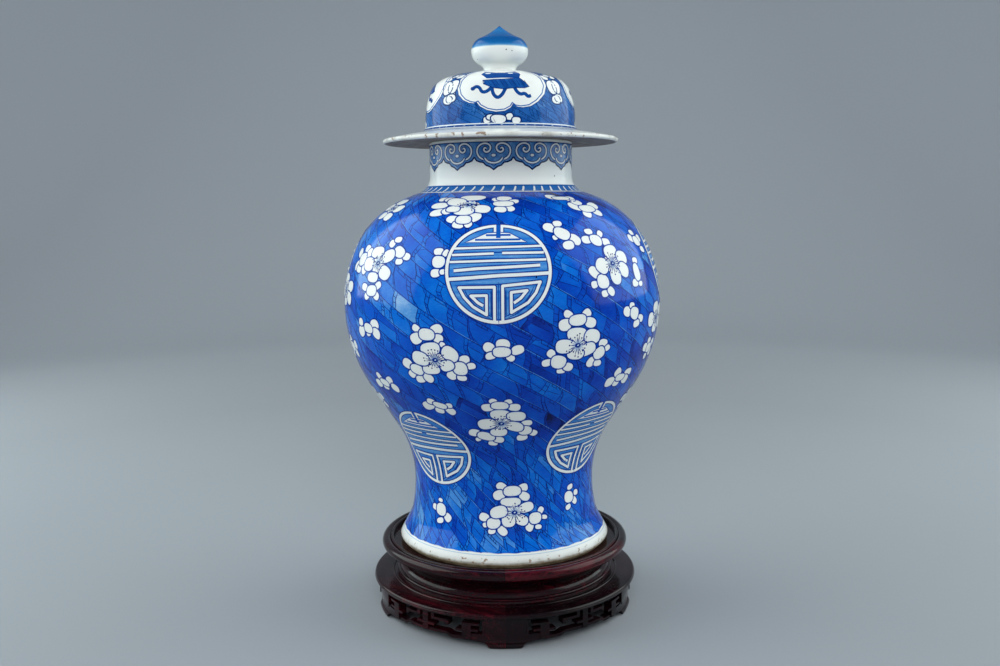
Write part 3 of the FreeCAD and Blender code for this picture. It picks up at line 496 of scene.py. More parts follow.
def glazed(name, ramp=COBALT, streaks=0.05, mottle=0.06, specks=True):
    """Cobalt under a clear gloss glaze, on a body that shows white where there is no wash."""
    finish = Finish(name)
    where = finish.places()
    wash = finish.attribute("wash")
    cloud = finish.noise(where, 14.0, 4.0, 0.6)
    grain = finish.noise(where, 1.6, 3.0, 0.6)
    brush = finish.noise(finish.places(stretch=(1.0, 1.0, 3.2)), 3.4, 3.0, 0.65, 0.6)
    painted = wash.over(0.04, 0.3)
    uneven = (cloud - 0.5) * (mottle * 2) + (grain - 0.5) * 0.10 + (brush - 0.5) * (streaks * 2)
    wash = wash + uneven * painted
    colour = finish.ramp(wash, ramp)
    veil = finish.noise(where, 60.0, 2.0, 0.5)
    colour = finish.mix(colour, srgb(214, 219, 219), veil.over(0.45, 0.75) * 0.25 * (1 - painted))
    if specks:
        spots = finish.node("ShaderNodeTexVoronoi", {"feature": "F1"}, {"Vector": where, "Scale": 1 / 13.0})
        tint = finish.node("ShaderNodeTexVoronoi", {"feature": "F1"}, {"Vector": where, "Scale": 1 / 13.0}, "Color")
        chosen = finish.node("ShaderNodeSeparateColor", None, {"Color": tint}, 0).over(0.80, 0.81)
        speck = (1 - spots.over(0.018, 0.036)) * chosen
        colour = finish.mix(colour, srgb(96, 72, 48), speck * 0.75)
    soil = finish.attribute("soil")
    film = soil * soil * (0.40 + finish.noise(where, 8.0, 4.0, 0.65).over(0.35, 0.7) * 0.5)
    chip = soil.over(0.2, 0.36) * finish.noise(where, 4.2, 3.0, 0.6).over(0.61, 0.64)
    colour = finish.mix(colour, srgb(112, 98, 74), film)
    colour = finish.mix(colour, srgb(124, 92, 62), chip * 0.8)
    dirt = film + chip
    wave = finish.noise(where, 9.0, 2.0, 0.5)
    peel = finish.noise(where, 0.9, 2.0, 0.5)
    height = wave + peel * 0.06
    rough = 0.12 + (cloud - 0.5) * 0.05 + dirt * 0.35
    return finish.surface(Base_Color=colour, Roughness=rough, Specular_IOR_Level=0.16, Normal=finish.bump(height, 0.5, 0.10))


def biscuit(name, colour, stain):
    """Bare fired clay, dry and gritty, with kiln dirt rubbed in."""
    finish = Finish(name)
    where = finish.places()
    patch = finish.noise(where, 7.0, 5.0, 0.65)
    grit = finish.noise(where, 0.7, 3.0, 0.7)
    tone = finish.mix(colour, stain, patch.over(0.38, 0.68))
    tone = finish.mix(tone, srgb(70, 58, 46), grit.over(0.62, 0.8) * 0.6)
    return finish.surface(Base_Color=tone, Roughness=0.72 + (grit - 0.5) * 0.3, Normal=finish.bump(grit + patch * 0.6, 0.6, 0.25))


def rosewood(name, turn, along, tone=0.0):
    """Dark oiled and waxed hardwood: straight streaks and fine pores along the piece, and a grey tint in worn patches
    on faces that look up, partly dust and partly painted sheen.
    """
    finish = Finish(name)
    drift = tuple(37.0 * s for s in (math.sin(turn * 3.1 + 1), math.cos(turn * 5.3), math.sin(turn * 7.7)))
    shift = {0: finish.places(turn), 1: drift}
    where = finish.node("ShaderNodeVectorMath", {"operation": "ADD"}, shift)
    streaked = finish.node("ShaderNodeVectorMath", {"operation": "MULTIPLY"}, {0: where, 1: tuple(1 / s for s in along)})
    bend = finish.noise(where, 28.0, 2.0, 0.5)
    band = finish.noise(streaked, 2.6, 5.0, 0.62, 0.9)
    fine = finish.noise(streaked, 0.85, 4.0, 0.7, 0.3)
    pore = finish.noise(streaked, 0.34, 2.0, 0.6).over(0.60, 0.70)
    wear = finish.noise(where, 16.0, 4.0, 0.6)
    shade = band * 0.55 + fine * 0.25 + bend * 0.25 + tone
    colour = finish.ramp(shade, [(0.30, srgb(4, 2, 3)), (0.45, srgb(12, 3, 6)), (0.58, srgb(31, 5, 11)), (0.76, srgb(76, 12, 22))])
    colour = finish.mix(colour, srgb(10, 4, 6), pore * 0.75)
    # Painted sheen with dust: faces that look up are tinted grey in worn patches, partly standing in for the light they
    # catch on top
    dust_and_sheen = finish.node("ShaderNodeSeparateXYZ", None, {"Vector": finish.node("ShaderNodeNewGeometry", None, None, "Normal")}, "Z")
    colour = finish.mix(colour, srgb(92, 82, 78), dust_and_sheen.over(0.55, 0.98) * wear.over(0.5, 0.74) * 0.05)
    rough = 0.13 + (wear - 0.5) * 0.10 + pore * 0.16
    height = fine * 0.5 - pore * 0.8 + band * 0.3
    return finish.surface(Base_Color=colour, Roughness=rough, Specular_IOR_Level=0.20, Coat_Weight=0.06, Coat_Roughness=0.06, Normal=finish.bump(height, 0.45, 0.12))


def studio(name):
    """Plain painted sweep, paler where the lamps reach less."""
    finish = Finish(name)
    where = finish.places()
    away = finish.node("ShaderNodeVectorMath", {"operation": "LENGTH"}, {0: where}, "Value")
    rings = [(0.17, srgb(141, 146, 152)), (0.29, srgb(148, 153, 159)), (0.34, srgb(155, 160, 166)), (0.407, srgb(166, 171, 178)),
             (0.487, srgb(180, 186, 193)), (0.533, srgb(184, 190, 197)), (0.8, srgb(186, 192, 199))]
    tone = finish.ramp(away.over(0.0, 3000.0), rings)
    tone = finish.mix(tone, srgb(170, 177, 184), finish.noise(where, 400.0, 2.0, 0.5) * 0.1)
    return finish.surface(Base_Color=tone, Roughness=0.9)


white_glaze = glazed("white_glaze")
painted_cobalt = glazed("painted_cobalt", mottle=0.12, streaks=0.07)
soft_cobalt = glazed("soft_cobalt", SOFT_COBALT)
roundel_cobalt = glazed("roundel_cobalt", ROUNDEL_COBALT)
knob_glaze = glazed("knob_glaze", KNOB_COBALT, 0.03, 0.04)
inside_glaze = glazed("inside_glaze")
foot_biscuit = biscuit("foot_biscuit", srgb(196, 178, 146), srgb(128, 108, 82))
cover_biscuit = biscuit("cover_biscuit", srgb(150, 138, 124), srgb(104, 92, 80))

# The bodies of jar, cover and knob under the painting
jar_skin = Skin(jar_outside)
cover_skin = Skin(cover_outside)


def jar_soil(r, z):
    outer = r > 54.9 and z > 60
    neck_line = 0.35 * math.exp(-((z - 332.2) / 0.5) ** 2) if outer else 0.0
    foot = max(0.205 * max(0.0, min(1.0, (67.0 - z) / 4.0)), min(1.0, (60.6 - z) / 3.0)) if r > 70 else 0.0
    return max(neck_line, foot)


inner_rows = len(jar_inside)
outer_rows = inner_rows + len(jar_outside)
def jar_wash(r, z):
    return 0.60 if 65.2 < z < 327.0 and r > 62.0 and r > jar_skin.radius(jar_skin.way(z)) - 2.0 else 0.0


def cover_wash(r, z):
    return 0.56 if RIM + 10.2 < z < CROWN - 1.4 and r > cover_skin.radius(cover_skin.way(z)) - 2.0 else 0.0


jar_path = outline(jar_inside, jar_outside, jar_base, run=400.0)
jar_body = turned("jar_body", jar_path, 240, [white_glaze, inside_glaze, foot_biscuit], "jar", "jar",
                  lambda r, z, row: 1 if row < inner_rows - 8 else (2 if z < 56.6 and r > 63.0 else 0), jar_wash, jar_soil)

def cover_soil(r, z):
    chips = 0.46 * max(0.0, min(1.0, (r - 87.6) / 1.4))
    return max(chips, 0.12 * max(0.0, min(1.0, (r - 78.0) / 10.0)))


cover_path = outline((0.0, CROWN), cover_outside, cover_under, run=400.0)
cover_body = turned("cover_body", cover_path, 224, [white_glaze, inside_glaze, cover_biscuit], "cover", "cover",
                    lambda r, z, row: 2 if r < 86.0 and (z < RIM - 0.3 and r > 42.0 or (r > 46.0 and z < RIM + 0.05)) else (1 if row > len(cover_outside) + 4 else 0), cover_wash, cover_soil)


# Nicks along the flange's edge, worn brown
draw = random.Random(21)
nicks = [(draw.uniform(0, 2 * math.pi), draw.uniform(0.02, 0.07), draw.uniform(0.15, 0.8)) for _ in range(36)]
soil_values = cover_body.data.attributes["soil"].data
for corner in cover_body.data.vertices:
    r = math.hypot(corner.co.x, corner.co.y) / MM
    if r > 86.6:
        bearing = math.atan2(corner.co.y, corner.co.x) % (2 * math.pi)
        depth = min(1.2, sum(deep * math.exp(-((bearing - place) / wide) ** 2) for place, wide, deep in nicks))
        share = 1 - depth * min(1.0, (r - 86.6) / 3.4) / r
        corner.co = (corner.co.x * share, corner.co.y * share, corner.co.z)
        soil_values[corner.index].value += 0.35 * depth * min(1.0, max(0.0, r - 88.0))


def knob_wash(r, z):
    rise = (z - CROWN - 16.2) / 17.6
    if rise < 0.0:
        return 0.0
    return float(np.interp(rise, [0.0, 0.06, 0.16, 0.34, 0.55, 0.8, 0.95, 1.0], [0.10, 0.42, 0.60, 0.70, 0.62, 0.50, 0.56, 0.98]))


knob_path = outline(knob_outside, (0.0, CROWN), run=0.55)
cover_knob = turned("knob_body", knob_path, 128, [knob_glaze], "cover", "cover_knob", lambda r, z, row: 0, knob_wash)


# Cracked ice: slanting strips of panes with their corners cut, and columns of little bricks between the panes

ICE_RADIUS = 108.0


def clip(pane, point, normal):
    """The part of a pane on the near side of a line."""
    near = []
    sides = [(p[0] - point[0]) * normal[0] + (p[1] - point[1]) * normal[1] for p in pane]
    for k, p in enumerate(pane):
        q, a, b = pane[(k + 1) % len(pane)], sides[k], sides[(k + 1) % len(pane)]
        if a < 0:
            near.append(p)
        if (a < 0) != (b < 0):
            near.append((p[0] + (q[0] - p[0]) * a / (a - b), p[1] + (q[1] - p[1]) * a / (a - b)))
    return near


def between(p, q, share):
    return (p[0] + (q[0] - p[0]) * share, p[1] + (q[1] - p[1]) * share)


def corners_cut(pane, chosen, draw, least, most):
    """A pane with some corners cut, and the little corners that fall off it."""
    whole, off = [], []
    for k, p in enumerate(pane):
        if k not in chosen or draw.random() > 0.7:
            whole.append(p)
            continue
        near = [between(p, q, min(draw.uniform(least, most) / max(math.dist(p, q), 1e-3), 0.42)) for q in (pane[k - 1], pane[(k + 1) % len(pane)])]
        whole += near
        off.append([near[0], p, near[1]])
    return whole, off


def cracked_ice(ground, lines, top, bottom, strips, slant, cell, brick, tone, seed, pitch, wobble=0.0, width=0.5, contrast=1.0, stray=1.0, waver=0.0):
    """Lay cobalt panes between two ways along the skin, and draw the cracks round them."""
    draw = random.Random(seed)
    around = 2 * math.pi * ICE_RADIUS
    deep = bottom - top
    fall = deep / slant
    starts = [around * (k + (draw.uniform(-0.13, 0.13) if k else 0.0)) / strips for k in range(strips)]
    starts.append(starts[0] + around)
    sways = [draw.uniform(0, 6.3) for _ in range(strips)]
    sways.append(sways[0])
    waves = [(draw.choice((2, 3, 5, 7, 9, 11)), draw.uniform(0, 6.3), draw.uniform(-0.09, 0.09), draw.uniform(0, 6.3)) for _ in range(9)]

    def clouds(x, y):
        return sum(math.sin(n * x / ICE_RADIUS + phase + rise * y) * math.cos(0.02 * n * y + turn) for n, phase, rise, turn in waves) / 9

    def pane(shape, shade):
        """Fill a pane, a little deeper along its edge and drifting from pale to deep across it."""
        shape = clip(clip(shape, (0.0, top), (0.0, -1.0)), (0.0, bottom), (0.0, 1.0))
        if len(shape) < 3:
            return
        middle = (sum(p[0] for p in shape) / len(shape), sum(p[1] for p in shape) / len(shape))
        rim = []
        for near, far in zip(shape, shape[1:] + shape[:1]):
            cuts = max(1, math.ceil(math.dist(near, far) / pitch))
            rim += [between(near, far, c / cuts) for c in range(cuts)]
        n = len(rim)
        reach = max(math.dist(p, middle) for p in rim)
        rings = max(1, math.ceil(reach / pitch))
        shares = sorted({1.0, 1.0 - min(0.3, 1.0 / reach)} | {1 - k / rings for k in range(1, rings)}, reverse=True)
        points = np.array([between(middle, p, share) for share in shares for p in rim] + [middle])
        lean, slope = draw.uniform(0, 6.3), draw.uniform(0.03, 0.11)
        drift = ((points[:, 0] - middle[0]) * math.cos(lean) + (points[:, 1] - middle[1]) * math.sin(lean)) / max(reach, 5.0) * slope
        wash = shade + drift + np.repeat([0.06 if share == 1.0 else -0.015 * share for share in shares + [0.0]], [n] * len(shares) + [1])
        way = points[:, 1]
        if wobble:
            wave = wobble * np.sin(points[:, 0] * 0.33) + wobble * 0.8 * np.sin(points[:, 0] * 0.11 + 2)
            way = np.where(way > bottom - 1e-6, way + wave, way)
        faces = [[r * n + k, r * n + n + k, r * n + n + (k + 1) % n, r * n + (k + 1) % n] for r in range(len(shares) - 1) for k in range(n)]
        faces += [[(len(shares) - 1) * n + k, len(shares) * n, (len(shares) - 1) * n + (k + 1) % n] for k in range(n)]
        share = (points[:, 1] - top) / deep
        ground.add(points[:, 0] / ICE_RADIUS, way, 0.07, wash, faces, ("sheet", 0, (points[:, 0] - slant * share) / around, share))

    def line(points, wide, wash, taper=0.08, lift=0.12):
        """A crack, where it lies between the two ways."""
        if not all(p[1] < top for p in points) and not all(p[1] > bottom for p in points):
            points = [(x, min(max(y, top), bottom)) for x, y in points]
            if math.dist(points[0], points[-1]) > 0.3:
                lines.stroke(None, points, width * wide, wash, lift, taper=taper)

    for k in range(strips):
        spread = starts[k + 1] - starts[k]
        rise = spread * fall
        strip_tone = draw.uniform(-0.03, 0.03)

        def on_upper(y):
            return (starts[k + 1] + (y - top) / fall + waver * math.sin(0.42 * y + sways[k + 1]), y)

        def on_lower(y):
            return (starts[k] + (y - top) / fall + waver * math.sin(0.42 * y + sways[k]), y)

        # Columns of bricks: left and right side, each as top, bend and foot
        columns, y = [], top - rise - cell * (stray + draw.uniform(0.5, 1.5))
        while y < bottom + cell * (1 + stray):
            wide = draw.uniform(0.75, 1.3) * brick * fall
            foot = y + rise + draw.uniform(-0.3, 0.3) * cell * stray
            off, slip = draw.uniform(-0.2, 0.2) * cell * stray, draw.uniform(0.6, 1.5)
            above, below = draw.choice(((1, 1), (1, 1), (1, 1), (1, 0.1), (0.1, 1)))
            left = [on_upper(y), None, on_lower(foot)]
            right = [on_upper(y + wide * above), None, on_lower(foot + wide * slip * below)]
            for side in (left, right):
                middle = between(side[0], side[2], draw.uniform(0.4, 0.6))
                side[1] = (middle[0] + off, middle[1])
            columns.append((left, right))
            y += wide + draw.uniform(0.62, 1.38) * cell * fall
        for (left, right), (after, _) in zip(columns, columns[1:]):
            place = between(right[1], after[1], 0.5)
            if not top - rise - cell * stray < place[1] < bottom + rise + cell * stray:
                continue
            depth = float(np.interp((place[1] - top) / deep, *zip(*tone)))
            shade = depth + strip_tone + contrast * (0.42 * clouds(*place) + draw.uniform(-0.05, 0.05) - (0.10 if draw.random() < 0.06 else 0.0))
            # The pane, now and then cracked across, and its cut corners
            shape = [right[0], after[0], after[1], after[2], right[2], right[1]]
            whole, off = corners_cut(shape, (0, 1, 3, 4), draw, 0.16 * cell, 0.42 * cell)
            if draw.random() < (0.92 if place[1] > bottom - 0.3 * deep else 0.35):
                near, far = between(right[0], right[2], draw.uniform(0.35, 0.65)), between(after[0], after[2], draw.uniform(0.35, 0.65))
                across, drop = (far[1] - near[1], near[0] - far[0]), contrast * draw.uniform(-0.07, 0.07)
                pane(clip(whole, near, across), shade + drop)
                pane(clip(whole, near, (-across[0], -across[1])), shade - drop)
                line([near, far], 0.85, 0.92)
            else:
                pane(whole, shade)
            for piece in off:
                pane(piece, shade + contrast * draw.uniform(-0.07, 0.07))
                line([piece[0], piece[2]], 0.9, draw.uniform(0.86, 0.96))
            # The bricks beside it
            pane([left[0], right[0], right[1], right[2], left[2], left[1]], shade + contrast * draw.uniform(-0.07, 0.06))
            for side in (left, right):
                line(side, draw.uniform(0.8, 1.15), draw.uniform(0.86, 0.96))
            count = max(2, int(rise / (brick * draw.uniform(0.95, 1.6))))
            for step in range(1, count):
                share = (step + draw.uniform(-0.25, 0.25)) / count
                ends = [between(side[0], side[1], share * 2) if share < 0.5 else between(side[1], side[2], share * 2 - 1) for side in (left, right)]
                if math.dist(*ends) > 0.4 * brick:
                    line([ends[0], (ends[1][0], ends[1][1] + draw.uniform(-0.3, 0.3) * brick)], 0.9, 0.92, 0.0)
            # Bricks under its upper side now and then
            if draw.random() < 0.4:
                start, end = draw.uniform(0.0, 0.3), draw.uniform(0.6, 1.0)
                near, far = between(right[0], after[0], start), between(right[0], after[0], end)
                thick = brick * draw.uniform(0.7, 1.0)
                line([(near[0], near[1] + thick), (far[0], far[1] + thick * draw.uniform(0.8, 1.3))], 0.85, 0.95, 0.2)
                rungs = max(2, int(math.dist(near, far) / (brick * draw.uniform(0.9, 1.5))))
                for step in range(rungs):
                    x, level = between(near, far, (step + draw.uniform(0.2, 0.8)) / rungs)
                    line([(x, level), (x + draw.uniform(-0.2, 0.2) * brick, level + thick)], 0.85, 0.95, 0.0)
        # The long slanting crack, dark with a pale edge that comes and goes
        ends = [(starts[k], top), (starts[k] + slant, bottom)]
        runs = max(2, int(deep / 2.5)) if waver else 0
        way_down = [on_lower(top + deep * run / runs) for run in range(runs + 1)] if waver else bent(ends, draw, 0.25)
        lines.stroke(None, way_down, width * (0.8 if waver else 1.0), 0.93, 0.125, taper=0.02)
        share = 0.0
        while share < 1.0 and not waver:
            reach = draw.uniform(0.04, 0.16)
            shift = draw.choice((-1, 1)) * width * 1.4
            if draw.random() < 0.75:
                part = [between(ends[0], ends[1], share), between(ends[0], ends[1], min(share + reach, 1.0))]
                lines.stroke(None, bent([(x + shift, y) for x, y in part], draw, 0.15), width * draw.uniform(0.7, 1.1), draw.uniform(0.36, 0.52), 0.115, taper=0.3)
            share += reach + draw.uniform(0.0, 0.05)


def bent(ends, draw, amount):
    """A hand-drawn line between two points."""
    (x0, y0), (x1, y1) = ends
    count = max(2, int(math.dist(ends[0], ends[1]) / 6))
    nx, ny = y1 - y0, x0 - x1
    size = math.hypot(nx, ny) or 1.0
    line = []
    for k in range(count + 1):
        off = draw.uniform(-amount, amount) if 0 < k < count else 0.0
        line.append((x0 + (x1 - x0) * k / count + nx / size * off, y0 + (y1 - y0) * k / count + ny / size * off))
    return line


jar_ground = Brushwork("jar_cobalt_ground", jar_skin)
jar_lines = Brushwork("jar_cobalt_lines", jar_skin)
ground_top, ground_foot = jar_skin.way(327.4), jar_skin.way(64.5)
jar_tone = [(0.0, 0.76), (0.05, 0.70), (0.22, 0.61), (0.40, 0.65), (0.52, 0.75), (0.66, 0.74), (0.84, 0.66), (1.0, 0.57)]
cracked_ice(jar_ground, jar_lines, ground_top, ground_foot, 32, 470.0, 11.6, 2.7, jar_tone, 11, 3.8, 0.3, 0.56)

cover_ground = Brushwork("cover_cobalt_ground", cover_skin)
cover_lines = Brushwork("cover_cobalt_lines", cover_skin)
ICE_RADIUS = 52.0
cover_tone = [(0.0, 0.62), (0.5, 0.56), (1.0, 0.60)]
cracked_ice(cover_ground, cover_lines, cover_skin.way(CROWN - 1.0), cover_skin.way(RIM + 9.8), 27, 127.0, 6.2, 1.7, cover_tone, 5, 1.8, 0.0, 0.32, 0.5, 1.3, 0.9)
ICE_RADIUS = 108.0


# Prunus: an open blossom of five petals, and buds of a middle petal with lobes round it

blossoms = Brushwork("jar_prunus", jar_skin)
cover_blossoms = Brushwork("cover_prunus", cover_skin)


def offset(skin, spot, bearing, level):
    """Millimetres to the right and up from one spot to another on the same skin."""
    way = skin.way(level)
    return math.radians(bearing - spot[0]) * float(skin.radius(way)), skin.way(spot[1]) - way


def foreshortened(spot):
    """How much taller a petal on the shoulder is than it looks from the front."""
    return float(np.interp(spot[1] - BASE, [238.0, 262.0], [1.0, 1.5])) if BASE == FOOT else 1.0


def bud(work, spot, wide, high, tilt, lobes, seed, lift=0.16):
    """A bud: lobes first, then the middle petal over them. Places are (bearing, level) above the foot."""
    draw = random.Random(seed)
    for k, lobe in enumerate(lobes):
        x, y = offset(work.skin, spot, lobe[0], lobe[1] + BASE)
        far = math.hypot(x, y)
        size = lobe[2] if len(lobe) > 2 else min(wide, high) * 0.82
        away = math.degrees(math.atan2(y, x)) if abs(x) > 0.7 * abs(y) else 0.0
        grown = 1.15 if spot[1] - BASE > 250 else 1.0
        work.petal(spot, x * 0.94, y * 0.94, size * 1.14 * grown * draw.uniform(0.94, 1.06), size * (0.94 if away else 0.84) * grown, away + draw.uniform(-14, 14), lift + 0.008 * k, seed=seed * 17 + k)
    work.petal(spot, 0.0, 0.0, wide * 1.05, high * 1.05 * foreshortened(spot), tilt, lift + 0.045, seed=seed * 31)
    for _ in range(2):
        # A tiny tick of the sepal on the middle petal
        angle = draw.uniform(0, 6.3)
        a = (wide * 0.30 * math.cos(angle), high * 0.30 * math.sin(angle))
        work.stroke(spot, [a, (a[0] + 0.9 * math.cos(angle + 0.8), a[1] + 0.9 * math.sin(angle + 0.8))], 0.4, 0.84, lift + 0.07, taper=0.4, step=0.5)


def blossom(work, spot, petals, seed, reach=8.4, lift=0.16):
    """An open blossom: petals, a washed heart, stamens with their dots, and the eye."""
    draw = random.Random(seed)
    flat = max(0.5, min(1.0, 2.2 * sum(p[3] for p in petals) / sum(p[2] for p in petals) - 0.6))
    under = [(7.4 * math.cos(k * math.pi / 10), 7.4 * flat * math.sin(k * math.pi / 10)) for k in range(20)]
    work.area(spot, under, 0.0, lift + 0.03, 2.6)
    for k, (bearing, level, wide, high, tilt) in enumerate(petals):
        x, y = offset(work.skin, spot, bearing, level + BASE)
        work.petal(spot, x * 0.95, y * 0.95, wide * 1.05, high * 1.05 * foreshortened(spot), tilt, lift + 0.05 + 0.008 * k, seed=seed * 13 + k)
    heart = 4.6
    rim = [(heart * (1 + 0.18 * math.sin(k * 2.1)) * math.cos(k * math.pi / 12), heart * (1 + 0.18 * math.sin(k * 2.1)) * math.sin(k * math.pi / 12)) for k in range(24)]
    work.area(spot, rim, lambda x, y: np.clip(0.30 - 0.06 * np.hypot(x, y), 0.0, 1), lift + 0.10, 1.6)
    count = draw.randint(17, 21)
    for k in range(count):
        angle = 2 * math.pi * (k + draw.uniform(-0.25, 0.25)) / count
        start, end = 1.7, reach * draw.uniform(0.58, 0.92)
        near, far = (start * math.cos(angle), start * flat * math.sin(angle)), (end * math.cos(angle), end * flat * math.sin(angle))
        work.stroke(spot, [near, far], 0.72, 0.93, lift + 0.12, taper=0.25, step=2.0)
        if draw.random() < 0.8:
            dot = (far[0] * 1.13 + draw.uniform(-0.4, 0.4), far[1] * 1.13 + draw.uniform(-0.4, 0.4))
            work.dot(spot, dot[0], dot[1], 1.15, 0.95, lift + 0.12)
    ring = [(2.3 * math.cos(k * math.pi / 6), 1.7 * math.sin(k * math.pi / 6)) for k in range(12)]
    work.area(spot, ring, 0.92, lift + 0.125, 1.2)
    work.petal(spot, 0.2, 0.1, 1.5, 0.9, 20, lift + 0.14, 0.3, edge=0.12, seed=seed)


BASE = FOOT
# Blossoms in view: (bearing, level above the foot), then petals (bearing, level, width, height, tilt)
open_blossoms = [
    ((-48.5, 225.0), [(-51.0, 233.0, 14.5, 9.0, 8), (-43.6, 230.6, 13.0, 9.4, 18), (-43.6, 218.4, 13.0, 9.4, -24), (-50.0, 214.6, 12.5, 7.6, 0), (-54.6, 224.0, 13.0, 10.4, 0)]),
    ((-23.0, 160.3), [(-24.4, 168.6, 15.5, 9.0, 6), (-17.2, 165.4, 12.4, 10.5, -30), (-18.8, 156.4, 10.5, 8.5, 20), (-25.2, 152.8, 13.0, 7.6, 0), (-28.8, 160.8, 14.0, 10.0, -10)]),
    ((25.0, 169.6), [(24.5, 177.6, 15.0, 10.0, 0), (30.6, 175.4, 12.6, 10.6, -12), (29.2, 166.0, 12.8, 9.4, 16), (24.4, 163.4, 13.0, 8.8, -6), (20.0, 169.4, 13.0, 10.4, 0)]),
    ((-1.0, 112.2), [(-1.4, 120.2, 14.5, 8.8, 4), (5.6, 118.4, 13.0, 9.4, 0), (5.2, 109.4, 12.6, 9.4, -16), (-2.2, 104.6, 12.6, 7.8, 0), (-7.4, 111.8, 13.0, 10.6, 12)]),
    ((6.0, 39.6), [(3.8, 48.0, 14.5, 7.0, 0), (13.6, 43.2, 11.0, 8.0, 12), (10.4, 33.6, 10.2, 8.0, -20), (2.2, 33.0, 10.5, 8.5, 0), (-3.8, 40.2, 12.5, 9.4, 14)]),
    ((-15.2, 265.4), [(-15.6, 270.4, 19.0, 5.6, 0), (-8.6, 262.4, 13.0, 6.0, -8), (-17.0, 260.8, 15.0, 5.6, 0), (-22.6, 262.4, 10.0, 5.0, 0), (-23.2, 267.6, 15.0, 7.0, -8)]),
    ((41.0, 224.0), [(41.6, 232.4, 13.0, 10.0, 10), (46.8, 227.6, 11.6, 10.4, 0), (46.2, 219.0, 12.0, 10.0, -30), (41.4, 214.6, 11.6, 10.4, 90), (35.8, 222.8, 12.0, 11.0, 60)]),
    ((69.0, 181.0), [(68.6, 189.0, 14.0, 9.0, 0), (75.4, 186.0, 13.0, 9.4, 10), (75.0, 176.0, 13.0, 9.4, -24), (68.4, 173.0, 12.5, 7.6, 0), (63.0, 180.4, 13.0, 10.4, 0)]),
    ((-73.0, 203.0), [(-73.4, 211.4, 14.0, 9.0, 0), (-66.8, 206.4, 13.0, 9.0, 10), (-67.6, 197.4, 12.4, 9.0, -24), (-74.0, 194.4, 12.5, 7.6, 0), (-79.0, 202.4, 13.0, 10.4, 0)]),
    ((-66.0, 263.0), [(-66.4, 268.0, 17.0, 5.6, 0), (-58.0, 263.0, 13.0, 5.6, 0), (-60.4, 257.0, 13.0, 5.2, -10), (-68.6, 257.6, 13.0, 5.0, 0), (-74.0, 264.0, 14.0, 6.0, 0)]),
]
